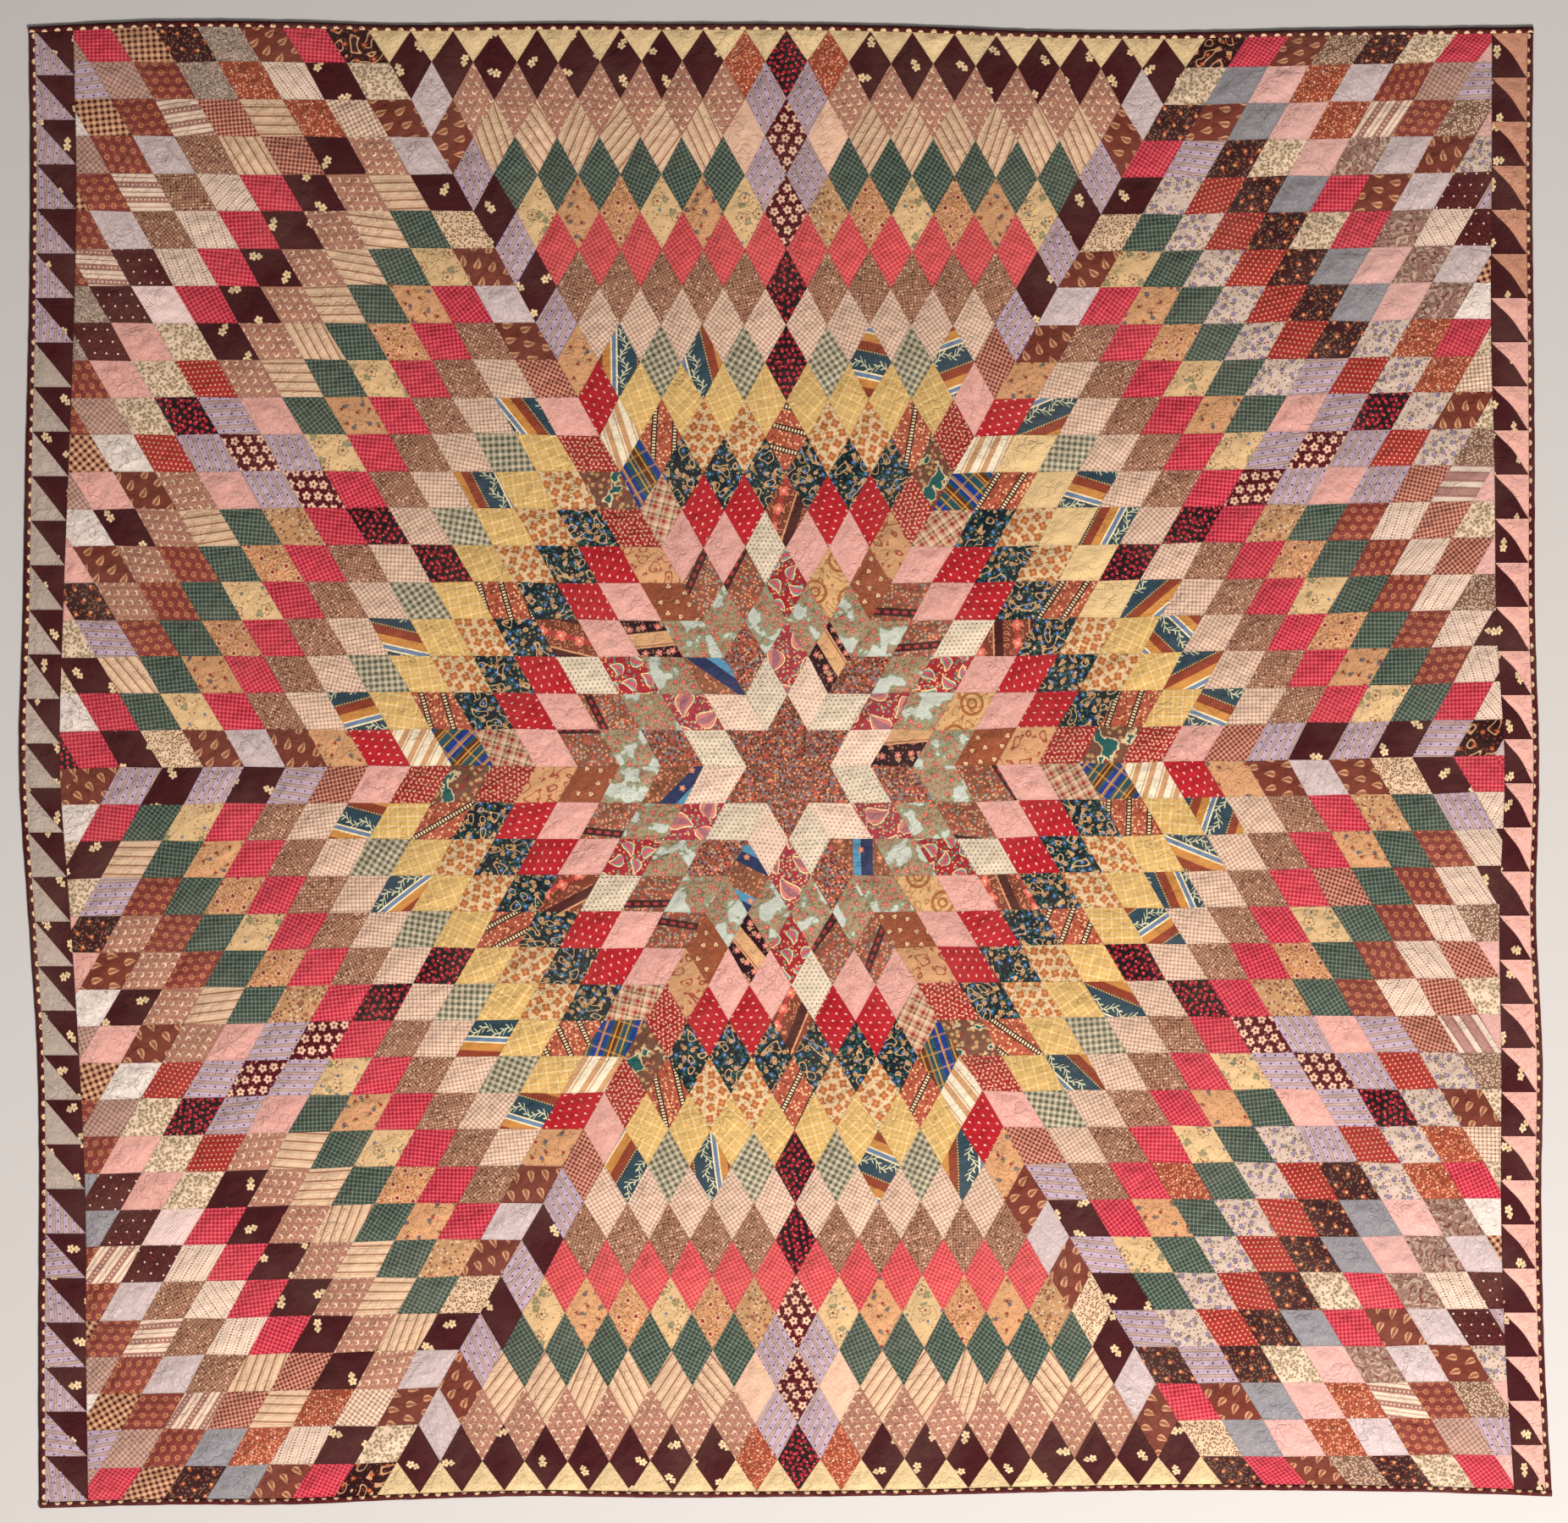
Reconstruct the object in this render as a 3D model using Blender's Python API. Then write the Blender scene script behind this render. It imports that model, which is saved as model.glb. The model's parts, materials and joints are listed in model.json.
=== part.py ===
"""A pieced star quilt lying flat, face up.

The quilt is one big six-pointed star of diamond patches that runs out to all four edges, with a
strip of sawtooth triangles down the left and right sides and a narrow binding all round.
The patched top, its batting and its backing are quilted into one sheet. Every seam and the short
diagonal of every patch is sewn down, so each half patch stands up as a small puff.
X runs left to right, Y from the lower edge to the upper one, Z up. The underside is at Z = 0.
"""

import bpy
import bmesh
from mathutils import Vector, noise

# Driving sizes, in metres.
MM = 0.001
PATCH_SIDE = 59.4 * MM
PATCH_ROW = 52.1 * MM
BINDING_WIDTH = 8.4 * MM
BINDING_HEIGHT = 4.6 * MM
SEAM_THICKNESS = 3.0 * MM
PUFF_HEIGHT = 3.2 * MM
SAWTOOTH_PUFF_HEIGHT = 2.4 * MM
SMALLEST_PUFF = 0.45
UNEVENNESS = 0.3
SHEET_NOISE_PER_METRE = 7.0
PUFF_NOISE_PER_METRE = 35.0
SHEET_SEED = 0.5
PUFF_SEED = 8.5
PIECE_GAP = 0.3 * MM

# The layout, counted in patches from the star's middle, and the pairs of triangles in a strip.
ROWS_TO_EDGE = 20
COLUMNS_TO_SEAM = 17
SAWTOOTH_UNITS = 33
TABLE_COLUMN_STEP = 8
TABLE_ROW_STEP = 10
EDGE_COLUMN_STEP = 3
EDGE_ROW_STEP = 4
SNAP_TO_SEAM = 0.07
AT_STRIP_END = 0.499
SHORTEST_EDGE = 3.0 * MM

# How far the old quilt has been pulled out of true, in millimetres.
# One line for each 10th row of patches from the top down, one entry for each 8th patch
# from the left to the right.
SHIFT_RIGHT = [
    [-9.0, 0.9, -1.7, -1.2, -3.3],
    [-9.0, -0.6, -2.3, -4.2, -7.8],
    [4.8, -0.6, 0.0, -3.0, -7.8],
    [4.2, 6.6, 9.0, 7.8, 4.2],
    [5.7, 13.5, 15.6, 21.3, 23.0],
]
SHIFT_UP = [
    [10.7, 8.9, 11.6, 0.2, 8.0],
    [2.2, 3.4, -1.2, 2.4, 9.9],
    [-1.2, 1.8, 0.0, 5.5, 15.1],
    [-2.2, 7.4, 6.7, 11.7, 12.2],
    [-2.3, 5.2, 8.3, 11.6, 15.7],
]

# Where the side seams and the four outer edges lie, in millimetres from the star's middle.
# The sides have an entry for each 4th row from the top down, the upper and lower edges
# one for each 3rd patch from the left to the right.
LEFT_EDGE = [-1075.2, -1072.8, -1075.0, -1080.0, -1083.6, -1089.0,
             -1075.8, -1062.6, -1060.2, -1061.4, -1060.2]
LEFT_SEAM = [-1012.2, -1008.0, -1011.6, -1019.4, -1027.0, -1031.4,
             -1017.0, -1003.8, -994.8, -994.2, -991.2]
RIGHT_SEAM = [997.8, 997.2, 996.2, 1001.4, 1003.8, 1015.8,
              1008.1, 1011.0, 1010.5, 1017.0, 1030.2]
RIGHT_EDGE = [1056.6, 1054.8, 1057.0, 1058.4, 1058.8, 1065.0,
              1060.2, 1069.8, 1067.6, 1072.2, 1083.0]
TOP_EDGE = [1048.8, 1057.2, 1056.0, 1051.2, 1053.6, 1053.0, 1053.0,
            1049.4, 1042.4, 1040.4, 1044.0, 1046.4, 1048.8]
BOTTOM_EDGE = [-1050.6, -1045.6, -1045.2, -1038.0, -1033.2, -1035.6, -1034.4,
               -1032.0, -1027.8, -1024.8, -1025.2, -1027.2, -1033.2]

# The binding's section as (share of the width from the inner side, share of the height).
BINDING_SECTION = [(0.0, 0.0), (0.9, 0.0), (1.0, 0.35), (0.85, 0.78),
                   (0.5, 1.0), (0.15, 0.92), (0.0, 0.72)]


def smooth(values, place):
    """Read a table of evenly spaced values at any place along it, on a smooth curve."""
    last = len(values) - 1
    index = min(max(int(place), 0), last - 1)
    t = place - index
    before = values[index - 1] if index > 0 else 2 * values[0] - values[1]
    start = values[index]
    end = values[index + 1]
    after = values[index + 2] if index + 2 <= last else 2 * values[last] - values[last - 1]
    if t < 0.0 or t > 1.0:
        return start + (end - start) * t
    return (start + 0.5 * t * (end - before)
            + t * t * (before - 2.5 * start + 2.0 * end - 0.5 * after)
            + 0.5 * t * t * t * (3.0 * (start - end) + after - before))


def read_grid(grid, column, row):
    """Read one of the shift tables at a column and row of the patch lattice, in metres."""
    across = column / TABLE_COLUMN_STEP + (len(grid[0]) - 1) / 2
    down = (len(grid) - 1) / 2 - row / TABLE_ROW_STEP
    return smooth([smooth(line, across) for line in grid], down) * MM


def on_cloth(column, row):
    """The real place of a point of the patch lattice."""
    x = column * PATCH_SIDE + read_grid(SHIFT_RIGHT, column, row)
    y = row * PATCH_ROW + read_grid(SHIFT_UP, column, row)
    return x, y


def side_line(table, y):
    """X of a side seam or side edge at a height."""
    return smooth(table, (len(table) - 1) / 2 - y / PATCH_ROW / EDGE_ROW_STEP) * MM


def level_line(table, x):
    """Y of the upper or lower edge at a distance from the middle."""
    return smooth(table, x / PATCH_SIDE / EDGE_COLUMN_STEP + (len(table) - 1) / 2) * MM


def along(line, place):
    """Follow a list of (place, value) corners with straight lines between them."""
    for (start, low), (end, high) in zip(line[:-2], line[1:-1]):
        if place <= end:
            return low + (high - low) * (place - start) / (end - start)
    (start, low), (end, high) = line[-2:]
    return low + (high - low) * (place - start) / (end - start)


def level_corners(edge_table, row, inset):
    """The corners of the line where the patches meet the upper or lower binding."""
    ends_y = row * PATCH_ROW
    places = [side_line(LEFT_EDGE, ends_y), side_line(LEFT_SEAM, ends_y)]
    places += [on_cloth(column, row)[0] for column in range(1 - COLUMNS_TO_SEAM, COLUMNS_TO_SEAM)]
    places += [side_line(RIGHT_SEAM, ends_y), side_line(RIGHT_EDGE, ends_y)]
    return [(x, level_line(edge_table, x) + inset) for x in places]


TOP_LINE = level_corners(TOP_EDGE, ROWS_TO_EDGE, -BINDING_WIDTH)
BOTTOM_LINE = level_corners(BOTTOM_EDGE, -ROWS_TO_EDGE, BINDING_WIDTH)


def side_corners(table, side, inset):
    """The corners of a side line, one at each row of patches, from the bottom up."""
    corners = []
    for row in range(-ROWS_TO_EDGE, ROWS_TO_EDGE + 1):
        y = on_cloth(side * COLUMNS_TO_SEAM, row)[1]
        if abs(row) == ROWS_TO_EDGE:
            x = side_line(table, row * PATCH_ROW) + inset
            y = along(TOP_LINE if row > 0 else BOTTOM_LINE, x)
        corners.append((y, side_line(table, y) + inset))
    return corners


SEAM_LINES = {-1: side_corners(LEFT_SEAM, -1, 0.0), 1: side_corners(RIGHT_SEAM, 1, 0.0)}
SIDE_LINES = {-1: side_corners(LEFT_EDGE, -1, BINDING_WIDTH),
              1: side_corners(RIGHT_EDGE, 1, -BINDING_WIDTH)}


def seam_column(side, row):
    """Where a side seam crosses a row of the patch lattice, in patches from the middle."""
    wanted = SEAM_LINES[side][row + ROWS_TO_EDGE][1]
    near = on_cloth(side * (COLUMNS_TO_SEAM - 1), row)[0]
    far = on_cloth(side * (COLUMNS_TO_SEAM + 1), row)[0]
    return side * (COLUMNS_TO_SEAM - 1 + 2 * (wanted - near) / (far - near))


SEAM_COLUMNS = {side: [seam_column(side, row) for row in range(-ROWS_TO_EDGE, ROWS_TO_EDGE + 1)]
                for side in (-1, 1)}


def seam_at(side, row):
    """Where a side seam lies at any height of the patch lattice."""
    below = min(max(int(row + ROWS_TO_EDGE), 0), 2 * ROWS_TO_EDGE - 1)
    low, high = SEAM_COLUMNS[side][below:below + 2]
    return low + (high - low) * (row + ROWS_TO_EDGE - below)


def uneven(x, y, per_metre, seed):
    """A factor round 1 that changes softly from place to place."""
    return 1.0 + UNEVENNESS * noise.noise(Vector((x * per_metre, y * per_metre, seed)))


def sheet_height(x, y, lift):
    """Height of the top face: the sewn-down sheet plus the lift of a puff."""
    sewn = SEAM_THICKNESS * uneven(x, y, SHEET_NOISE_PER_METRE, SHEET_SEED)
    return sewn + lift * uneven(x, y, PUFF_NOISE_PER_METRE, PUFF_SEED)


def make_material(name, color, roughness):
    """A plain cloth material."""
    material = bpy.data.materials.new(name)
    material.use_nodes = True
    shader = material.node_tree.nodes["Principled BSDF"]
    shader.inputs["Base Color"].default_value = (*color, 1.0)
    shader.inputs["Roughness"].default_value = roughness
    shader.inputs["Metallic"].default_value = 0.0
    material.diffuse_color = (*color, 1.0)
    return material


def add_piece(name, bm, material, collection):
    """Turn the shape into an object of the quilt, with its faces pointing out."""
    bmesh.ops.triangulate(bm, faces=bm.faces[:])
    bmesh.ops.recalc_face_normals(bm, faces=bm.faces[:])
    if bm.calc_volume(signed=True) < 0.0:
        bmesh.ops.reverse_faces(bm, faces=bm.faces[:])
    mesh = bpy.data.meshes.new(name)
    bm.to_mesh(mesh)
    bm.free()
    mesh.materials.append(material)
    piece = bpy.data.objects.new(name, mesh)
    collection.objects.link(piece)
    return piece


def raise_puffs(bm, height):
    """Split each sewn-down triangle at its middle and lift that point, less where it is cut short."""
    whole = max(face.calc_area() for face in bm.faces)
    for face in bm.faces[:]:
        share = (face.calc_area() / whole) ** 0.5
        if share > SMALLEST_PUFF:
            for middle in bmesh.ops.poke(bm, faces=[face])["verts"]:
                middle.co.z = height * share


def close_underside(bm):
    """Drop the sheet's rim to the surface it lies on and close it with one flat face."""
    bmesh.ops.remove_doubles(bm, verts=bm.verts[:], dist=SHORTEST_EDGE)
    rim = [edge for edge in bm.edges if edge.is_boundary]
    dropped = bmesh.ops.extrude_edge_only(bm, edges=rim)["geom"]
    for vert in [item for item in dropped if isinstance(item, bmesh.types.BMVert)]:
        vert.co.z = 0.0
    low_rim = [edge for edge in bm.edges if edge.is_boundary]
    bmesh.ops.edgeloop_fill(bm, edges=low_rim)


def cut_across(bm, faces, point, normal, snap):
    """Cut some of the faces along a plane, leaving both sides."""
    edges = {edge for face in faces for edge in face.edges}
    verts = {vert for face in faces for vert in face.verts}
    bmesh.ops.bisect_plane(bm, geom=[*faces, *edges, *verts], dist=snap,
                           plane_co=point, plane_no=normal)


def cut_row_at_seam(bm, row, side):
    """Cut one row of the lattice along the straight stretch of seam that crosses it."""
    low = Vector((seam_at(side, row), row, 0.0))
    high = Vector((seam_at(side, row + 1), row + 1, 0.0))
    normal = Vector((high.y - low.y, low.x - high.x, 0.0)).normalized()
    row_faces = [face for face in bm.faces if row < face.calc_center_median().y < row + 1]
    cut_across(bm, row_faces, low, normal, SNAP_TO_SEAM)


def on_seam(lattice):
    """True for a point of the lattice that lies on a side seam."""
    side = 1 if lattice.x > 0.0 else -1
    return abs(lattice.x - seam_at(side, lattice.y)) < 2.0 * SNAP_TO_SEAM


def field_place(lattice):
    """From a point of the flat lattice to its place on the cloth."""
    column, row, lift = lattice
    side = 1 if column > 0.0 else -1
    x, y = on_cloth(column, row)
    at_binding = abs(row) > ROWS_TO_EDGE - SNAP_TO_SEAM
    at_seam = lift == 0.0 and on_seam(lattice)
    if at_binding:
        y = along(TOP_LINE if row > 0.0 else BOTTOM_LINE, x)
    if at_seam:
        x = along(SEAM_LINES[side], y)
    if at_binding or at_seam:
        lift = 0.0
    return Vector((x, y, sheet_height(x, y, lift)))


def build_star_field(material, collection):
    """The quilted sheet: all patches of the star, from seam to seam and binding to binding."""
    columns = COLUMNS_TO_SEAM + 2
    bm = bmesh.new()
    bmesh.ops.create_grid(bm, x_segments=2 * columns, y_segments=2 * ROWS_TO_EDGE, size=1.0)
    for vert in bm.verts:
        row = round(vert.co.y * ROWS_TO_EDGE)
        vert.co = (round(vert.co.x * columns) + 0.5 * (row % 2), row, 0.0)
    bmesh.ops.triangulate(bm, faces=bm.faces[:], quad_method="SHORT_EDGE")
    for row in range(-ROWS_TO_EDGE, ROWS_TO_EDGE):
        for side in (-1, 1):
            cut_row_at_seam(bm, row, side)
    waste = []
    for face in bm.faces:
        middle = face.calc_center_median()
        side = 1 if middle.x > 0.0 else -1
        beyond = (middle.x - seam_at(side, middle.y)) * side > 0.0
        if beyond or all(on_seam(vert.co) for vert in face.verts):
            waste.append(face)
    bmesh.ops.delete(bm, geom=waste, context="FACES")
    raise_puffs(bm, PUFF_HEIGHT)
    for vert in bm.verts:
        vert.co = field_place(vert.co)
    close_underside(bm)
    return add_piece("star_field", bm, material, collection)


def build_sawtooth(name, side, material, collection):
    """A border strip of triangle pairs, between a side seam and the binding."""
    inner, outer = SEAM_LINES[side], SIDE_LINES[side]
    bottom, top = inner[0][0], inner[-1][0]
    bm = bmesh.new()
    bmesh.ops.create_grid(bm, x_segments=1, y_segments=SAWTOOTH_UNITS, size=0.5)
    bmesh.ops.triangulate(bm, faces=bm.faces[:], quad_method="FIXED")
    raise_puffs(bm, SAWTOOTH_PUFF_HEIGHT)
    for y, _ in inner[1:-1]:
        share = Vector((0.0, (y - bottom) / (top - bottom) - 0.5, 0.0))
        cut_across(bm, bm.faces[:], share, Vector((0.0, 1.0, 0.0)), SNAP_TO_SEAM / SAWTOOTH_UNITS)
    for vert in bm.verts:
        outward = 0.5 + vert.co.x * side
        y = bottom + (top - bottom) * (vert.co.y + 0.5)
        inner_x = along(inner, y) + side * PIECE_GAP
        x = inner_x + (along(outer, y) - inner_x) * outward
        if abs(vert.co.y) > AT_STRIP_END:
            y = along(TOP_LINE if vert.co.y > 0.0 else BOTTOM_LINE, x)
        vert.co = (x, y, sheet_height(x, y, vert.co.z))
    close_underside(bm)
    return add_piece(name, bm, material, collection)


def extrude_binding(stations):
    """The binding's section pushed along X, one step for each station."""
    bm = bmesh.new()
    section = bm.faces.new([bm.verts.new((0.0, across * BINDING_WIDTH, up * BINDING_HEIGHT))
                            for across, up in BINDING_SECTION])
    end = section
    for step in range(1, stations):
        moved = bmesh.ops.extrude_face_region(bm, geom=[end])["geom"]
        verts = [item for item in moved if isinstance(item, bmesh.types.BMVert)]
        bmesh.ops.translate(bm, verts=verts, vec=(1.0, 0.0, 0.0))
        if end is not section:
            bmesh.ops.delete(bm, geom=[end], context="FACES_ONLY")
        end = [item for item in moved if isinstance(item, bmesh.types.BMFace)][0]
    return bm


def build_level_binding(name, line, up, material, collection):
    """The binding along the upper or lower edge, over the quilt's full width."""
    bm = extrude_binding(len(line))
    for vert in bm.verts:
        x, inner_y = line[round(vert.co.x)]
        vert.co = (x, inner_y + up * (PIECE_GAP + vert.co.y), vert.co.z)
    return add_piece(name, bm, material, collection)


def build_side_binding(name, side, material, collection):
    """The binding down one side, between the upper and lower ones."""
    line = SIDE_LINES[side]
    bm = extrude_binding(len(line))
    for vert in bm.verts:
        station = round(vert.co.x)
        y, inner_x = line[station]
        x = inner_x + side * (PIECE_GAP + vert.co.y)
        if station == 0:
            y = along(BOTTOM_LINE, x)
        if station == len(line) - 1:
            y = along(TOP_LINE, x)
        vert.co = (x, y, vert.co.z)
    return add_piece(name, bm, material, collection)


def centre_on_origin(pieces):
    """Slide the whole quilt so that the middle of its outline is the origin."""
    corners = [vert.co for piece in pieces for vert in piece.data.vertices]
    middle_x = (min(co.x for co in corners) + max(co.x for co in corners)) / 2
    middle_y = (min(co.y for co in corners) + max(co.y for co in corners)) / 2
    for piece in pieces:
        piece.location = (-middle_x, -middle_y, 0.0)


def main():
    """Build every piece of the quilt."""
    for item in list(bpy.data.objects):
        bpy.data.objects.remove(item, do_unlink=True)
    quilt = bpy.data.collections.new("star_quilt_blanket")
    bpy.context.scene.collection.children.link(quilt)
    calico = make_material("pieced_calico", (0.42, 0.20, 0.16), 0.9)
    teeth = make_material("sawtooth_calico", (0.16, 0.09, 0.10), 0.9)
    edging = make_material("binding_print", (0.20, 0.05, 0.05), 0.9)
    pieces = [
        build_star_field(calico, quilt),
        build_sawtooth("sawtooth_left", -1, teeth, quilt),
        build_sawtooth("sawtooth_right", 1, teeth, quilt),
        build_level_binding("binding_top", TOP_LINE, 1, edging, quilt),
        build_level_binding("binding_bottom", BOTTOM_LINE, -1, edging, quilt),
        build_side_binding("binding_left", -1, edging, quilt),
        build_side_binding("binding_right", 1, edging, quilt),
    ]
    centre_on_origin(pieces)


main()
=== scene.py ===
"""Looks of a pieced star quilt lying flat, face up, with its six star points of printed patches.

The patched top is six sheets that meet on the star's spines, then come the sawtooth strips at
the sides and the binding. Every patch lies on one lattice of 60 degree diamonds, pulled out of
true by hand as on the worn quilt, and carries one of its cotton prints.
Lengths are in metres, apart from the print maps and print settings, which are in millimetres.
"""

import json
import math
from collections import namedtuple

import bpy
import numpy as np
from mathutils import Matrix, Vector

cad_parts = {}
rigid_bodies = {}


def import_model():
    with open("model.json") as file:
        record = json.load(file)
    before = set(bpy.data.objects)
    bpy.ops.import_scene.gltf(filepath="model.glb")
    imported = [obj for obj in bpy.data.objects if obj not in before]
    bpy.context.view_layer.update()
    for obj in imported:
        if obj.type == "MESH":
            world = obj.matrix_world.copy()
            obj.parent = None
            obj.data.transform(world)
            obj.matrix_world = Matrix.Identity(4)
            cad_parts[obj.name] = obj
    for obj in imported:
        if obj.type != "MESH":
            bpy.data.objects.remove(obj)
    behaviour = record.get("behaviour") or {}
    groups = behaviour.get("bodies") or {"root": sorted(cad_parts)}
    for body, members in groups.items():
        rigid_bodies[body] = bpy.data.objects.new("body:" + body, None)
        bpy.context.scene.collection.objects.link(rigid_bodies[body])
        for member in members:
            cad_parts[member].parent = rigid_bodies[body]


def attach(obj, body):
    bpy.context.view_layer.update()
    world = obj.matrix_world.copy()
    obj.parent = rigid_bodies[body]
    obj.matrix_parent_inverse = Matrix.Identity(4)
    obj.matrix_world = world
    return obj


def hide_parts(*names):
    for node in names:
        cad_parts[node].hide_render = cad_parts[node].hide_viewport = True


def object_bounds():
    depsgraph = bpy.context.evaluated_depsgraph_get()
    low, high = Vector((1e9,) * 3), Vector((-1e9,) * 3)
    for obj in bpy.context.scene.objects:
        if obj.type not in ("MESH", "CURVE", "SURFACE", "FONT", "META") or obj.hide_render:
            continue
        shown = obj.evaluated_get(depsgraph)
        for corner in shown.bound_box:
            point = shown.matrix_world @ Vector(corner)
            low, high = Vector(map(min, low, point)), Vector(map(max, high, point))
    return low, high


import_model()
CAD_BOUNDS = [[float(value) for value in corner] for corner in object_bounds()]

bl_info = {
    "name": "Star Quilt",
    "version": (1, 0, 0),
    "blender": (4, 5, 0),
    "location": "View3D > Sidebar > Star Quilt",
    "description": "Builds the cloth, prints and studio of a pieced star quilt",
    "category": "Add Mesh",
}

# The quilt's driving sizes.
MM = 0.001
PATCH_SIDE = 59.4 * MM
PATCH_ROW = 52.1 * MM
BINDING_WIDTH = 8.4 * MM
BINDING_HEIGHT = 4.6 * MM
SEAM_THICKNESS = 3.0 * MM
PIECE_GAP = 0.3 * MM
ROWS_TO_EDGE = 20
COLUMNS_TO_SEAM = 17
SAWTOOTH_UNITS = 33
TABLE_COLUMN_STEP = 8
TABLE_ROW_STEP = 10
EDGE_COLUMN_STEP = 3
EDGE_ROW_STEP = 4

# How far the old quilt has been pulled out of true, in millimetres.
# One line for each 10th row of patches from the top down, one entry for each 8th patch
# from the left to the right.
SHIFT_RIGHT = [
    [-9.0, 0.9, -1.7, -1.2, -3.3],
    [-9.0, -0.6, -2.3, -4.2, -7.8],
    [4.8, -0.6, 0.0, -3.0, -7.8],
    [4.2, 6.6, 9.0, 7.8, 4.2],
    [5.7, 13.5, 15.6, 21.3, 23.0],
]
SHIFT_UP = [
    [10.7, 8.9, 11.6, 0.2, 8.0],
    [2.2, 3.4, -1.2, 2.4, 9.9],
    [-1.2, 1.8, 0.0, 5.5, 15.1],
    [-2.2, 7.4, 6.7, 11.7, 12.2],
    [-2.3, 5.2, 8.3, 11.6, 15.7],
]

# Where the side seams and the four outer edges lie, in millimetres from the star's middle.
# The sides have an entry for each 4th row from the top down, the upper and lower edges
# one for each 3rd patch from the left to the right.
LEFT_EDGE = [-1075.2, -1072.8, -1075.0, -1080.0, -1083.6, -1089.0,
             -1075.8, -1062.6, -1060.2, -1061.4, -1060.2]
LEFT_SEAM = [-1012.2, -1008.0, -1011.6, -1019.4, -1027.0, -1031.4,
             -1017.0, -1003.8, -994.8, -994.2, -991.2]
RIGHT_SEAM = [997.8, 997.2, 996.2, 1001.4, 1003.8, 1015.8,
              1008.1, 1011.0, 1010.5, 1017.0, 1030.2]
RIGHT_EDGE = [1056.6, 1054.8, 1057.0, 1058.4, 1058.8, 1065.0,
              1060.2, 1069.8, 1067.6, 1072.2, 1083.0]
TOP_EDGE = [1048.8, 1057.2, 1056.0, 1051.2, 1053.6, 1053.0, 1053.0,
            1049.4, 1042.4, 1040.4, 1044.0, 1046.4, 1048.8]
BOTTOM_EDGE = [-1050.6, -1045.6, -1045.2, -1038.0, -1033.2, -1035.6, -1034.4,
               -1032.0, -1027.8, -1024.8, -1025.2, -1027.2, -1033.2]

# The binding's section as (share of the width from the inner side, share of the height).
BINDING_SECTION = [(0.0, 0.0), (0.0, 0.55), (0.05, 0.8), (0.18, 0.94), (0.38, 1.0), (0.6, 0.98),
                   (0.8, 0.86), (0.93, 0.64), (1.0, 0.35), (0.97, 0.12), (0.9, 0.0)]
BINDING_STEP = 6.0 * MM
BINDING_WIDTH_RIPPLE = 19.0 * MM
BINDING_HEIGHT_RIPPLE = 11.0 * MM
# How far round the binding its print starts, in millimetres: its dots then lie over the edge.
DOTS_PLACE = 16.5

# The relief: where a puff reaches its full height, as a share of the way across a patch.
FULL_PUFF_FROM_SEAM = 0.34
FULL_PUFF_FROM_FOLD = 0.16
FOLD_DIP = 0.45
FLAT_AT_SEAM = 0.06
RIM_ANGLE = math.radians(60.0)
BINDING_ANGLE = math.radians(50.0)
SHEET_RIPPLE = 140.0 * MM
PUFF_RIPPLE = 28.0 * MM
UNEVENNESS = 0.25
CORNER_SLIP = 1.3 * MM
END_SNAP = 0.3
LEAST_PUFF = 0.8
PUFF_SPREAD = 0.4
# As shares too: where the puff reaches its full height beside the binding, beside a side seam,
# beside a strip's edges and in a tooth, and how high the teeth are puffed.
FULL_PUFF_FROM_BINDING = 0.2
FULL_PUFF_FROM_SIDE = 0.25
FULL_PUFF_FROM_STRIP_EDGE = 0.12
FULL_PUFF_IN_TOOTH = 0.3
TOOTH_PUFF = 0.8
TOOTH_SIDE = 60.0
# The crinkles: soft wrinkles, and ridges as (right, up, weight) that cross the cloth.
WRINKLE = 14.0 * MM
RIDGES = ((0.8, 0.6, 0.75), (0.5, -0.87, 0.45))
RIDGE_SPACING = 10.5 * MM
RIDGE_STRETCH = 0.3
RIDGE_BEND = 6.0 * MM
RIDGE_BEND_RIPPLE = 45.0 * MM
RIDGE_MEAN = 0.2
CRINKLE_AT_SEAM = 0.4

Light = namedtuple("Light", "name place size power color")
Sector = namedtuple("Sector", "name first second chart spine far_spine length binding")


def smooth(values, place):
    """Read a table of evenly spaced values at any places along it, on a smooth curve."""
    values = np.asarray(values, float)
    place = np.asarray(place, float)
    ends = np.stack([2 * values[0] - values[1], 2 * values[-1] - values[-2]])
    table = np.concatenate([ends[:1], values, ends[1:]])
    index = np.clip(np.floor(place).astype(int), 0, len(values) - 2)
    if values.ndim > 1:
        picked = np.arange(values.shape[1])
        before, start, end, after = (table[index + step, picked] for step in range(4))
    else:
        before, start, end, after = (table[index + step] for step in range(4))
    t = place - index
    curve = (start + 0.5 * t * (end - before)
             + t * t * (before - 2.5 * start + 2.0 * end - 0.5 * after)
             + 0.5 * t * t * t * (3.0 * (start - end) + after - before))
    return np.where((t < 0.0) | (t > 1.0), start + (end - start) * t, curve)


def read_grid(grid, column, row):
    """Read one of the shift tables at columns and rows of the patch lattice, in metres."""
    across = column / TABLE_COLUMN_STEP + (len(grid[0]) - 1) / 2
    down = (len(grid) - 1) / 2 - row / TABLE_ROW_STEP
    return smooth(np.stack([smooth(line, across) for line in grid]), down) * MM


def on_cloth(column, row):
    """The real places of points of the patch lattice."""
    column, row = np.broadcast_arrays(np.atleast_1d(np.asarray(column, float)), float(row)
                                      if np.isscalar(row) else row)
    x = column * PATCH_SIDE + read_grid(SHIFT_RIGHT, column, row)
    y = row * PATCH_ROW + read_grid(SHIFT_UP, column, row)
    return x, y


def side_line(table, y):
    """X of a side seam or side edge at a height."""
    return smooth(table, (len(table) - 1) / 2 - y / PATCH_ROW / EDGE_ROW_STEP) * MM


def level_line(table, x):
    """Y of the upper or lower edge at a distance from the middle."""
    return smooth(table, x / PATCH_SIDE / EDGE_COLUMN_STEP + (len(table) - 1) / 2) * MM


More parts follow.
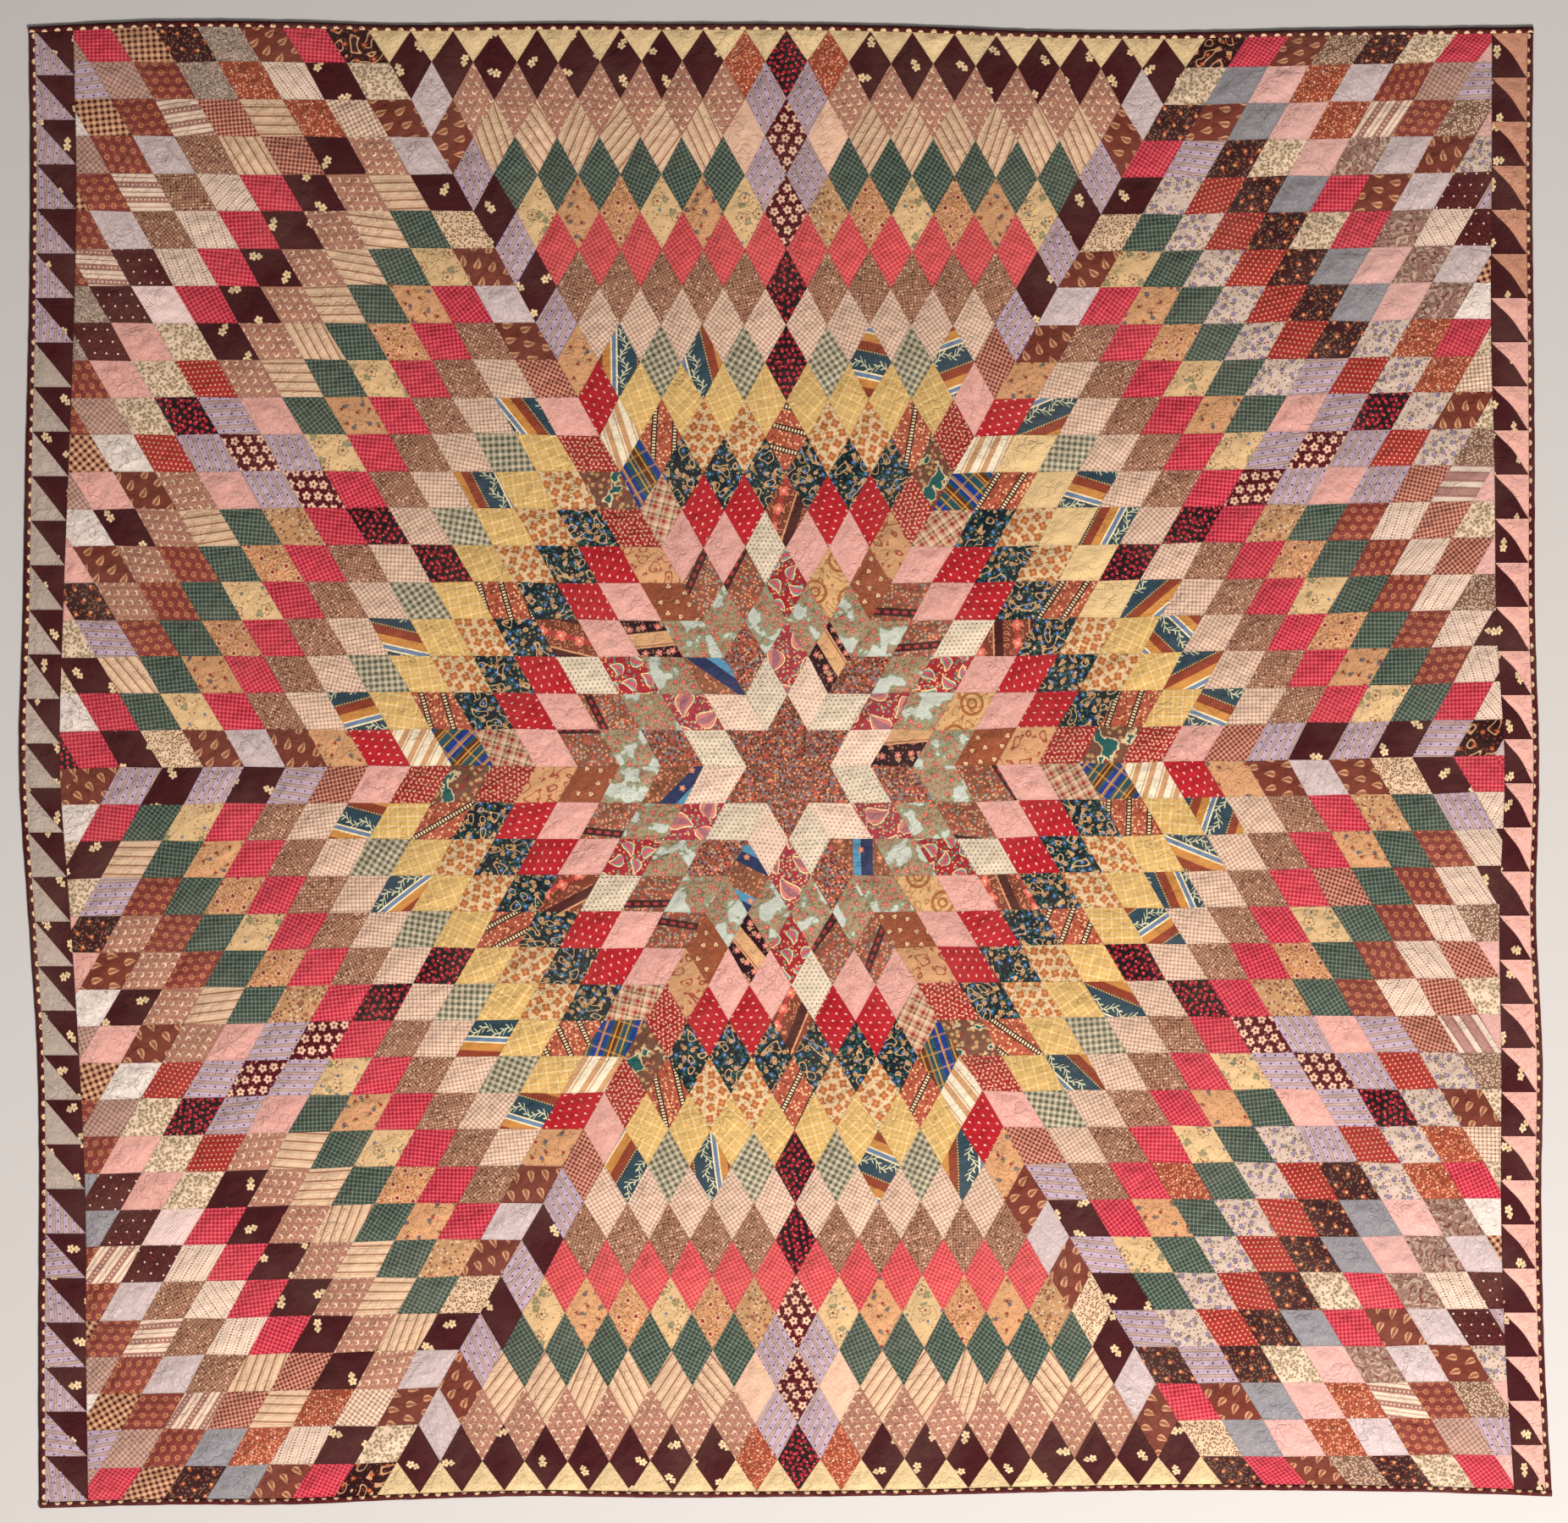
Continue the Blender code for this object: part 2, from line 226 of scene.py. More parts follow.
def along(line, place):
    """Follow a list of (place, value) corners with straight lines between them."""
    places, values = np.asarray(line, float).T
    index = np.clip(np.searchsorted(places, place) - 1, 0, len(places) - 2)
    share = (place - places[index]) / (places[index + 1] - places[index])
    return values[index] + (values[index + 1] - values[index]) * share


def level_corners(edge_table, row, inset):
    """The corners of the line where the patches meet the upper or lower binding."""
    ends_y = row * PATCH_ROW
    columns = np.arange(1 - COLUMNS_TO_SEAM, COLUMNS_TO_SEAM)
    places = np.concatenate([
        [side_line(LEFT_EDGE, ends_y), side_line(LEFT_SEAM, ends_y)], on_cloth(columns, row)[0],
        [side_line(RIGHT_SEAM, ends_y), side_line(RIGHT_EDGE, ends_y)]])
    return np.column_stack([places, level_line(edge_table, places) + inset])


TOP_LINE = level_corners(TOP_EDGE, ROWS_TO_EDGE, -BINDING_WIDTH)
BOTTOM_LINE = level_corners(BOTTOM_EDGE, -ROWS_TO_EDGE, BINDING_WIDTH)


def side_corners(table, side, inset):
    """The corners of a side line, one at each row of patches, from the bottom up."""
    corners = []
    for row in range(-ROWS_TO_EDGE, ROWS_TO_EDGE + 1):
        y = float(on_cloth(side * COLUMNS_TO_SEAM, row)[1][0])
        if abs(row) == ROWS_TO_EDGE:
            x = side_line(table, row * PATCH_ROW) + inset
            y = float(along(TOP_LINE if row > 0 else BOTTOM_LINE, x))
        corners.append((y, float(side_line(table, y)) + inset))
    return np.array(corners)


SEAM_LINES = {-1: side_corners(LEFT_SEAM, -1, 0.0), 1: side_corners(RIGHT_SEAM, 1, 0.0)}
SIDE_LINES = {-1: side_corners(LEFT_EDGE, -1, BINDING_WIDTH),
              1: side_corners(RIGHT_EDGE, 1, -BINDING_WIDTH)}


def seam_column(side, row):
    """Where a side seam crosses a row of the patch lattice, in patches from the middle."""
    wanted = SEAM_LINES[side][row + ROWS_TO_EDGE][1]
    near = on_cloth(side * (COLUMNS_TO_SEAM - 1), row)[0][0]
    far = on_cloth(side * (COLUMNS_TO_SEAM + 1), row)[0][0]
    return COLUMNS_TO_SEAM - 1 + 2 * (wanted - near) / (far - near)


SEAM_COLUMNS = {side: [(row, seam_column(side, row))
                       for row in range(-ROWS_TO_EDGE, ROWS_TO_EDGE + 1)] for side in (-1, 1)}

# The star's middle in the frame: the CAD model's outline is centred on the origin.
OUTER = PIECE_GAP + BINDING_WIDTH
STAR_MIDDLE = (CAD_BOUNDS[0][0] - (SIDE_LINES[-1][:, 1].min() - OUTER),
               CAD_BOUNDS[0][1] - (BOTTOM_LINE[:, 1].min() - OUTER))

# Directions of the lattice, as (columns, rows), one for each 60 degrees from the right on.
DIRECTIONS = [(1.0, 0.0), (0.5, 1.0), (-0.5, 1.0), (-1.0, 0.0), (-0.5, -1.0), (0.5, -1.0)]

# The prints of the two rows of patches along each spine, from the middle out.
SPINE_DARK = ("pink_dot dark_border grey_green rust_brown tan_floral rust_calico teal_paisley "
              "rust_calico pink rust_checker ")
SPINE_PLAID = ("cream_dot speckle grey_green speckle_stripe pink cream_red_plaid blue_plaid "
               "cream_stripe red_dot peach_floral ")
TIP_LAVENDER = "lavender_stripe sprig lavender_stripe sprig lavender_stripe "
TIP_PAISLEY = "brown_paisley lavender_grey brown_paisley tan_small sprig "

# The rounds of patches, counted from the star's middle: the print of the whole round, and of
# the patch on the middle line of a sector where it differs.
ROUNDS = ["speckle", "speckle", "red_paisley", "grey_green", "speckle_stripe", "pink", "red_dot",
          "navy_floral", "rust_flowers", "yellow_plaid", "navy_vine", "cream_check", "mottled",
          "red_check", "yellow_floral", "green_check"]
MIDDLE_PATCHES = {2: "red_paisley", 4: "red_teal_paisley", 6: "brown_red_paisley",
                  8: "red_rope_stripe", 10: "black_red", 12: "black_red", 14: "brown_cream_flowers",
                  16: "brown_cream_flowers", 18: "black_red"}

# The rounds that change their print on the way, as the patch to start at and the prints in turn.
SCRAP_ROUND = (1, "yellow_floral peach_floral tan_red_floral yellow_floral tan_red_floral "
                  "peach_mix brown_cream_flowers yellow_floral peach_floral yellow_floral "
                  "tan_red_floral peach_floral yellow_floral")
GREEN_ROUND = (1, "green_check*6 lavender_stripe*2 green_check*6")
VINE_ROUND = (1, "navy_vine green_cream navy_vine green_cream black_red "
                 "green_cream navy_vine green_cream navy_vine")
LEVEL_CHART = {
    10: VINE_ROUND, 13: (1, "coral_check*12"), 14: SCRAP_ROUND, 15: GREEN_ROUND,
    16: (1, "tan_stripe*6 pale_peach brown_cream_flowers pale_peach tan_stripe*6"),
    17: (1, "crescents*7 lavender_stripe*2 crescents*7"),
    18: (1, "sprig*7 rust_speck black_red rust_speck sprig*7"),
    19: (0, "edge_cream*20"),
}
LEFT_CHART = {
    10: VINE_ROUND, 14: SCRAP_ROUND, 15: GREEN_ROUND,
    16: (1, "red_check tan_stripe brown_circles*3 tan_stripe pink brown_cream_flowers pink "
            "tan_stripe*6"),
    17: (1, "white_pale sprig lavender_stripe crescents*4 lavender_stripe*2 crescents*7"),
    18: (2, "olive*2 dark_floral brown_paisley sprig brown_paisley rust_red_dot black_red "
            "rust_red_dot sprig*6 cream_tan_check"),
    19: (4, "pink*2 white_pale pink white_pale olive*3 red_check*4 rust_checker rust_speck sprig"),
    20: (6, "pink crosshatch big_check crosshatch pink*2 pink_stripe cream_dot_stripe*3 "
            "tan_stripe*2 cream_dot_stripe red_check"),
    21: (8, "brown_circles*3 brown_white_dot*3 mottled*3 rust_checker rust_speck brown_paisley"),
    22: (10, "grey_drab*3 cream_taupe_stripe lavender_grey cream_taupe_stripe lavender_grey "
             "cream_taupe_stripe grey_drab*2"),
    23: (12, "brown_circles*7 dark_floral"),
    24: (14, "big_check*2 crosshatch big_check crosshatch big_check"),
    25: (16, "white_pale*2 lavender_stripe red_check"),
    26: (18, "crosshatch*2"),
}
RIGHT_CHART = {
    10: (1, "navy_vine*4 black_red navy_vine*2 green_cream navy_vine"),
    14: SCRAP_ROUND, 15: GREEN_ROUND,
    16: (1, "red_check brown_circles*5 pink brown_cream_flowers pink white_floral*6"),
    17: (1, "cream_dot_stripe*6 lavender_stripe*4 rust_red_dot*5 lavender_stripe"),
    18: (2, "sprig*2 taupe_small rust_checker*3 rust_red_dot black_red rust_red_dot "
            "dark_floral*6 brown_paisley"),
    19: (4, "pale_pink*2 olive taupe_stripe white_floral*4 grey_blue*2 olive grey_blue olive "
            "grey_blue*2"),
    20: (6, "pale_pink*2 taupe_small brown_paisley rust_speck*2 pale_pink*2 red_check*2 "
            "pale_pink*3 red_check"),
    21: (8, "olive*2 cream_tan_check red_check drab_paisley*3 brown_paisley drab_paisley "
            "rust_speck*2 brown_paisley"),
    22: (10, "olive*2 white_pale lavender_grey cream_dot_stripe lavender_grey*2 "
             "cream_taupe_stripe lavender_grey taupe_small"),
    23: (12, "big_check*2 brown_white_dot*2 brown_paisley brown_circles*2 dark_floral"),
    24: (14, "lavender_stripe*2 white_floral taupe_small crosshatch olive"),
    25: (16, "pale_pink*2 lavender_stripe red_check"),
    26: (18, "pale_pink*2"),
}
# The lower left sector has the upper left one's chart, with another grey.
LOWER_LEFT_CHART = {ring: (start, words.replace("grey_drab", "grey_blue"))
                    for ring, (start, words) in LEFT_CHART.items()}
# Single patches that break the rule of their round, by sector and place.
ROPES = {(7, 1): "red_rope_stripe", (1, 7): "red_rope_stripe"}
ODD_PATCHES = {
    "star_upper_right": {**{(place, 9 - place): "yellow_plain" for place in range(1, 6)},
                         **ROPES, (3, 1): "tan_medallion", (2, 3): "cream_dot",
                         (9, 5): "tan_red_floral"},
    "star_top": {**ROPES, (3, 1): "tan_medallion", (2, 3): "cream_dot"},
    "star_upper_left": {(0, 2): "blue_border", (1, 3): "dark_border", (3, 2): "cream_dot",
                        (7, 1): "red_rope_stripe"},
    "star_lower_left": {**ROPES, (2, 0): "blue_border", (2, 3): "cream_dot",
                        (1, 13): "peach_mix"},
    "star_bottom": {**ROPES, (2, 0): "blue_border", (3, 1): "dark_border", (2, 3): "cream_dot",
                    (1, 13): "peach_mix"},
    "star_lower_right": {**ROPES, (0, 2): "blue_border", (1, 3): "tan_medallion",
                         (3, 2): "cream_dot", (3, 7): "green_cream", (2, 8): "navy_vine",
                         (1, 9): "green_cream", (11, 3): "rust_checker", (3, 11): "rust_speck",
                         (13, 1): "peach_mix", (15, 1): "lavender_stripe"},
}
SECTORS = [
    Sector("star_upper_right", 0, 1, RIGHT_CHART,
           SPINE_DARK + TIP_LAVENDER + "dark_swirl lavender_grey",
           SPINE_PLAID + TIP_PAISLEY + "red_check dark_floral olive dark_swirl", 1, None),
    Sector("star_top", 1, 2, LEVEL_CHART,
           SPINE_DARK + TIP_LAVENDER + "brown_paisley lavender_grey sprig edge_cream",
           SPINE_PLAID + TIP_LAVENDER + "brown_paisley lavender_grey sprig edge_cream", 0,
           "binding_top"),
    Sector("star_upper_left", 3, 2, LEFT_CHART,
           SPINE_PLAID + TIP_PAISLEY + "red_check black_red",
           SPINE_DARK + TIP_PAISLEY + "lavender_grey brown_paisley olive dark_swirl", -1, None),
    Sector("star_lower_left", 3, 4, LOWER_LEFT_CHART,
           SPINE_DARK + TIP_LAVENDER + "brown_paisley brown_paisley",
           SPINE_PLAID + TIP_PAISLEY + "lavender_grey brown_paisley olive dark_swirl", -1, None),
    Sector("star_bottom", 4, 5, LEVEL_CHART,
           SPINE_DARK + TIP_LAVENDER + "brown_paisley lavender_grey sprig edge_cream",
           SPINE_PLAID + TIP_PAISLEY + "lavender_grey brown_paisley sprig edge_cream", 0,
           "binding_bottom"),
    Sector("star_lower_right", 0, 5, RIGHT_CHART,
           SPINE_PLAID + TIP_PAISLEY + "red_check red_check",
           SPINE_DARK + TIP_LAVENDER + "dark_floral red_check tan_small dark_floral", 1, None),
]

# The prints. A print is its ground colour, the layers printed on it in turn, and how it is cut:
# the turn of its grain to the patch's side and how far that varies, in degrees.
# A layer is the pattern, its colour and the pattern's own settings in millimetres.
Print = namedtuple("Print", "ground layers turn spread", defaults=((), 0.0, 8.0))
ANY_WAY = math.tau
IN_CELLS = ("dots", "rings", "crescents", "commas", "flowers")


def layer(pattern, ink, output="Mask", **settings):
    """One layer of a print. The settings are the inputs of the pattern's node group."""
    named = {word.replace("_", " ").title(): value for word, value in settings.items()}
    if pattern in IN_CELLS:
        named.setdefault("Row Pitch", named["Pitch"])
    return pattern, ink, output, named


def printer(pattern, *order):
    """A short word for the layers of a pattern, whose settings may follow in this order."""
    def printed(ink, *values, **settings):
        return layer(pattern, ink, **dict(zip(order, values)), **settings)
    return printed


def in_inks(pattern, inks, settings):
    """The layers of a pattern that has each of its parts in an ink of its own."""
    return [layer(pattern, ink, part, **settings) for part, ink in inks.items() if ink]


def blooms(ink="", heart="", leaf="", outline="", **settings):
    """The layers of a flower turned any way."""
    inks = {"Leaf": leaf, "Mask": ink, "Heart": heart, "Outline": outline}
    return in_inks("flowers", inks, {"turn": ANY_WAY, **settings})


def paisleys(ink, core, outline="", **settings):
    """The layers of a large drop with a core."""
    return in_inks("commas", {"Mask": ink, "Core": core, "Outline": outline}, settings)


def islands(ink, rim, **settings):
    """The layers of ragged blotches with a rim."""
    return in_inks("blotches", {"Mask": ink, "Rim": rim}, settings)


dots = printer("dots", "pitch", "size")
rings = printer("rings", "pitch", "size", "width")
crescents = printer("crescents", "pitch", "size")
commas = printer("commas", "pitch", "size")
stripes = printer("stripes", "pitch", "width")
checks = printer("checks", "pitch", "width")
specks = printer("specks", "pitch", "size", "share")
squiggles = printer("squiggles", "pitch", "width")
vines = printer("vines", "pitch", "width")

PRINTS = {
    "sprig": Print("#44171b", blooms("#f1d7a9", "#be8c5d", "#e1c89b", pitch=54, row_pitch=47,
        scatter=14, size=6.2), 0, 90),
    "red_check": Print("#a81027", [checks("#e65e70", 5.6, 2.5)]),
    "coral_check": Print("#c33542", [checks("#e6726f", 5.6, 2.5)]),
    "crescents": Print("#ae7a67", [crescents("#efdab8", 13, 3.3, turn=2.0),
        dots("#d9b79b", 6.5, 0.9)]),
    "tan_stripe": Print("#e3c3a2", [stripes("#a4765a", 12.4, 2.5),
        stripes("#cba687", 12.4, 1.4, offset=3.4)], 0, 12),
    "green_check": Print("#30463d", [checks("#8b9282", 5.8, 1.4)]),
    "yellow_floral": Print("#debc8b",
        [*blooms("", "#96593c", "#968f6a", "#716954", pitch=33, scatter=10, size=8, share=0.85),
        *blooms("#697c90", pitch=29, scatter=14, size=2.6, share=0.5, seed=3),
        specks("#9c6742", 6, 1.2, 0.22)], 0, 90),
    "peach_floral": Print("#d39f72", [specks("#b4815c", 4.6, 1.3, 0.45),
        *blooms("#973a2f", leaf="#767554", pitch=21, scatter=8, size=2.9, share=0.75),
        *blooms("#344362", "#c4a17e", "#767554", pitch=25, scatter=8, size=3.2, share=0.6,
                seed=3)], 0, 90),
    "peach_mix": Print("#c5976b", [specks("#7c4b43", 5.5, 1.7, 0.4),
        specks("#decfaf", 6.5, 1.5, 0.35, seed=2),
        *blooms("#a0644b", pitch=22, scatter=9, size=4.2, share=0.5)], 60, 40),
    "tan_red_floral": Print("#ce986c", [specks("#a06240", 3.8, 1.3, 0.6),
        specks("#e7c69e", 4.6, 1.1, 0.35, seed=4),
        *blooms("#972722", outline="#eacca6", pitch=22, scatter=4, size=4.0)], 0, 90),
    "mottled": Print("#825442", [checks("#b68d72", 4.2, 1.9), specks("#e2bfa2", 5.2, 1.3, 0.32),
        specks("#62372a", 5.2, 1.5, 0.32, seed=3)], 40, 20),
    "cream_check": Print("#ebcfb6", [checks("#905c50", 5.6, 1.5)], 0, 14),
    "rust_checker": Print("#6b1b16", [checks("#da9c84", 5.6, 2.7)], 30, 14),
    "rust_speck": Print("#a14d36", [specks("#e19d78", 3.8, 1.35, 0.55),
        specks("#793428", 4.4, 1.3, 0.3, seed=2), dots("#fbe9d2", 20, 1.2, scatter=6)]),
    "yellow_plaid": Print("#d8ad5f", [checks("#efddac", 7, 2.2),
        checks("#b28540", 14, 1.2)], 0, 20),
    "yellow_plain": Print("#e2c086", [checks("#ecd4a6", 4, 1.4)], 0, 14),
    "rust_flowers": Print("#dec196", [specks("#878664", 4.6, 1.2, 0.4),
        *blooms("#b56c3a", "#d0925e", pitch=15.5, scatter=3, size=6.9, petals=4)], 0, 90),
    "navy_floral": Print("#16242c", [specks("#2a5f5c", 5, 1.7, 0.45),
        specks("#b8935e", 6, 1.5, 0.3, seed=3),
        *blooms("#3c659c", "#a9bccc", "#31604c", pitch=13, scatter=6, size=3.6, share=0.6),
        *blooms("#c9a070", "#8a4a30", "#a9805a", pitch=16, scatter=7, size=3.6, share=0.55,
                seed=5), squiggles("#cfa679", 17, 0.06)], 0, 90),
    "red_dot": Print("#b41f2a", [commas("#f2c8bc", 11.5, 2.3, turn=0.8, slimness=0.5)], 0, 20),
    "pink": Print("#e3a99e", [specks("#edc5bc", 3.4, 0.9, 0.4)]),
    "pink_stripe": Print("#f3e0da", [stripes("#e1afa8", 3.6, 1.0)], 60, 20),
    "pale_peach": Print("#e8bea2", [specks("#efd1bc", 3.4, 0.9, 0.4)]),
    "pale_pink": Print("#e0afa7", [specks("#eac5be", 3.4, 0.9, 0.4)]),
    "cream_dot": Print("#e6d7be", [dots("#524032", 6.6, 1.0, row_pitch=5.7)]),
    "pink_dot": Print("#f3d6bf", [dots("#6d4f3e", 6.6, 0.95, row_pitch=5.7)]),
    "grey_green": Print("#ab9276", [specks("#7d8460", 4.6, 1.7, 0.5),
        specks("#be5e52", 5.2, 1.4, 0.35, seed=2),
        *blooms("#ce5650", "#f6c0a4", "#6c7550", pitch=13, scatter=6, size=3.6, share=0.8),
        *islands("#c9d1c5", "#949c7f", pitch=36, share=0.42)], 0, 90),
    "red_paisley": Print("#a73946", [specks("#85a18a", 6, 1.9, 0.4),
        specks("#e8b984", 5, 1.5, 0.4, seed=4),
        *paisleys("#d9847a", "#a86f78", "#f6e9ae", pitch=44, row_pitch=38, scatter=4,
                turn=ANY_WAY, size=17, slimness=0.72, bend=0.3)], 0, 90),
    "red_teal_paisley": Print("#a32934", [specks("#e6ae74", 5, 1.5, 0.4),
        specks("#5d8e7c", 6, 2.0, 0.35, seed=2),
        *paisleys("#7a999c", "#d25c66", "#f4de9e", pitch=27, row_pitch=25, scatter=4,
                turn=ANY_WAY, size=11, slimness=0.65, bend=0.4)], 0, 90),
    "brown_red_paisley": Print("#7f4030", [squiggles("#cd8d65", 9, 0.10),
        stripes("#4b2422", 52, 12), stripes("#e6ac7a", 52, 1.8, offset=8),
        stripes("#b6453b", 52, 7, offset=26),
        *blooms("#f07d6b", "#ffcb9f", pitch=26, row_pitch=52, scatter=2, size=8, petals=4)], 15,
                30),
    "speckle": Print("#8b5440", [specks("#c95c4c", 5.8, 2.4, 0.58),
        specks("#7b848a", 6.0, 2.2, 0.5, seed=2), specks("#e7a878", 5.2, 1.5, 0.48, seed=3),
        specks("#553130", 5.2, 1.8, 0.48, seed=5)], 0, 90),
    "speckle_stripe": Print("#885642", [specks("#c35848", 5.6, 2.2, 0.5),
        specks("#95968c", 6.0, 1.9, 0.42, seed=2), specks("#e3a878", 5.2, 1.5, 0.42, seed=3),
        stripes("#3f2423", 62, 11), stripes("#b03b3e", 62, 4, dash=13)], 0, 10),
    "lavender_stripe": Print("#bda8bb", [stripes("#a1877e", 11.8, 5.0),
        stripes("#c2aaa3", 11.8, 1.8), dots("#331e27", 14.5, 1.3, row_pitch=11.8)], 0, 10),
    "lavender_grey": Print("#cbbaba", [squiggles("#dacbca", 11, 0.08),
        stripes("#baa5a4", 30, 1.2)], 60, 20),
    "brown_paisley": Print("#75382c", paisleys("#cf9e77", "#995c41", pitch=21, row_pitch=24,
        turn=0.5, size=8.2, slimness=0.58, bend=0.15), 20, 20),
    "drab_paisley": Print("#947467", [squiggles("#b9a18f", 14, 0.20),
        squiggles("#733e37", 10, 0.08, seed=4)], 0, 60),
    "brown_circles": Print("#833c35", [dots("#ba6f52", 4.0, 0.9, row_pitch=12, stagger=0),
        rings("#cf8a5c", 16, 3.2, 1.2, row_pitch=12), dots("#cf8a5c", 16, 0.8, row_pitch=12)]),
    "dark_swirl": Print("#2a0c10", [specks("#893a2e", 5, 1.3, 0.35),
        squiggles("#cd9c72", 20, 0.07),
        *blooms("#b05026", "#dda67a", pitch=24, scatter=8, size=4.0)], 0, 90),
    "dark_floral": Print("#3d1e20", [specks("#7f674f", 4.4, 1.3, 0.4),
        specks("#994c35", 5.0, 1.2, 0.3, seed=2),
        *blooms("#d48454", "#fbd1aa", "#ae5131", pitch=20, scatter=6, size=3.0)], 0, 90),
    "grey_blue": Print("#8e8d93", [specks("#a8a2a3", 3.2, 0.9, 0.4)]),
    "grey_drab": Print("#9a887b", [specks("#d6bea9", 3.4, 1.1, 0.5),
        specks("#5d4a3d", 3.8, 1.1, 0.4, seed=2)]),
    "olive": Print("#ebd1b7", [specks("#9f8d6d", 4.6, 2.1, 0.7),
        specks("#bda683", 5.4, 1.6, 0.35, seed=2)], 0, 90),
    "big_check": Print("#4b0f0c", [checks("#e2af88", 8.6, 4.3)], 40, 20),
    "cream_tan_check": Print("#eed6bb", [checks("#915b4d", 6, 2.1)]),
    "crosshatch": Print("#bf9c8d", [checks("#6d4238", 6, 1.6)], 45, 15),
    "brown_white_dot": Print("#4e1e1e", [specks("#70342e", 3.6, 1.0, 0.4),
        dots("#f4dbc8", 16, 1.3)]),
    "rust_red_dot": Print("#a4312e", [dots("#e6bb8f", 6.6, 1.15)], 0, 14),
    "white_floral": Print("#d3beaf", [specks("#7b6a49", 6, 1.3, 0.4),
        specks("#9f5649", 7, 1.2, 0.35, seed=3),
        *blooms("#7c6f99", "#c8b38d", "#796c4f", pitch=15, scatter=6, size=3.9, share=0.75)], 0,
                90),
    "white_pale": Print("#e4d9cf", [squiggles("#f8ebe1", 9, 0.12),
        squiggles("#c1b1a7", 16, 0.03, seed=3)], 0, 90),
    "taupe_small": Print("#826050", [specks("#d4bda2", 3.4, 1.2, 0.75)]),
    "taupe_stripe": Print("#b2867d",
        [crescents("#6d3c3f", 11, 2.6, row_pitch=22, stagger=0, turn=1.0),
        stripes("#e5d4c3", 22, 7, offset=11),
        stripes("#6f3e3f", 11, 1.2, offset=6, dash=4)], 0, 10),
    "black_red": Print("#231519", [*blooms("#b32639", pitch=8.4, scatter=4, size=3.0),
        dots("#ee746a", 12, 1.3, scatter=6)], 0, 90),
    "brown_cream_flowers": Print("#54131c", [specks("#b4716c", 5, 1.1, 0.35),
        *blooms("#eac1a4", "#672724", pitch=16, scatter=2, size=6.4)]),
    "green_cream": Print("#5c6251", [checks("#d1c5a9", 8.6, 4.1)], 0, 10),
    "navy_vine": Print("#304855", [vines("#dedeb5", 62, 1.5, wave=31, reach=4.5),
        stripes("#8e402b", 62, 14, offset=34), stripes("#ca8c47", 62, 15, offset=22),
        stripes("#ffebbb", 62, 10, offset=13.5), stripes("#6c86a7", 62, 5.6, offset=13.5),
        stripes("#eeb355", 62, 1.8, offset=42.5, dash=4)], 0, 60),
    "cream_taupe_stripe": Print("#eed7c0", [stripes("#a8786a", 20, 9, offset=10),
        dots("#e8cfbe", 6, 1.35, row_pitch=20, stagger=0), stripes("#ae8170", 20, 1.3)], 0, 10),
    "cream_dot_stripe": Print("#e9d5c3", [stripes("#a67a66", 14, 3.0, dash=4),
        stripes("#c8a48a", 14, 1.8, offset=5, dash=3),
        stripes("#c8a48a", 14, 1.4, offset=9)], 60, 14),
    "cream_stripe": Print("#f4e8cc", [stripes("#cf9f72", 21, 8),
        stripes("#c4996e", 21, 1.6, offset=7)], 60, 14),
    "cream_red_plaid": Print("#d5af8c", [checks("#9f2f32", 17, 4.6),
        checks("#392d2e", 17, 2.2, offset=6), checks("#e5cfb2", 17, 2.0, offset=10)], 20, 20),
    "blue_plaid": Print("#28525b", [stripes("#173989", 46, 17),
        stripes("#5f321f", 46, 10, offset=17), stripes("#d4983b", 15, 2.0, offset=4),
        checks("#d0963f", 23, 2.6)], 60, 20),
    "teal_paisley": Print("#724e3d", [specks("#ba9465", 8, 3.0, 0.5),
        specks("#933637", 7, 2.2, 0.3, seed=2),
        *islands("#215d5a", "#d7c59b", pitch=34, share=0.34)], 0, 90),
    "rust_calico": Print("#9c2928",
        [commas("#e4b494", 6.8, 2.7, row_pitch=6, scatter=2, turn=ANY_WAY, slimness=0.5,
                bend=0.8)], 0, 90),
    "rust_brown": Print("#945036",
        [*blooms("#f1d7a4", "#5f3524", pitch=19, scatter=6, size=3.2, share=0.8, petals=3),
        specks("#a96946", 4, 1.0, 0.4)], 0, 90),
    "red_rope_stripe": Print("#b15942", [specks("#f4c694", 5, 1.6, 0.5),
        specks("#85362c", 5.4, 1.6, 0.35, seed=2), stripes("#3c2320", 30, 8.5),
        stripes("#f6e1b2", 30, 4.4, dash=4.4)], 30, 30),
    "dark_border": Print("#2a111b", [specks("#9a6152", 5, 1.3, 0.4),
        *blooms("#d37a6c", "#f0c4a2", "#c7997a", pitch=19, scatter=4, size=5.0),
        stripes("#daab7c", 56, 22, offset=28), stripes("#a36144", 56, 1.6, offset=20)], 0, 10),
    "blue_border": Print("#905d43", [specks("#dd9571", 5.6, 1.9, 0.5),
        specks("#704b3b", 6, 1.7, 0.35, seed=2), stripes("#303b5f", 64, 17, offset=32),
        stripes("#5898bb", 64, 11, offset=46),
        *blooms("#dc8b6d", "#fcd3a1", pitch=27, scatter=10, size=4.6, share=0.6)], 35, 15),
    "tan_medallion": Print("#d8ad79", [rings("#a66539", 50, 15, 4.2, scatter=4),
        rings("#a66539", 50, 6, 3.4, scatter=4), squiggles("#ae774f", 15, 0.07)], 0, 90),
    "tan_floral": Print("#d3a174", [squiggles("#a2513e", 20, 0.06),
        *blooms("#a2513e", "", "#aa5d41", pitch=17, scatter=6, size=2.6, share=0.6)], 0, 90),
    "tan_small": Print("#e7caa9", [specks("#896241", 3.4, 1.3, 0.7)]),
    "edge_cream": Print("#e6cc9c", [specks("#cfb484", 3.6, 1.0, 0.4)]),
    "tooth_grey": Print("#b7a89c", [specks("#c5b8ac", 3.4, 1.0, 0.4)]),
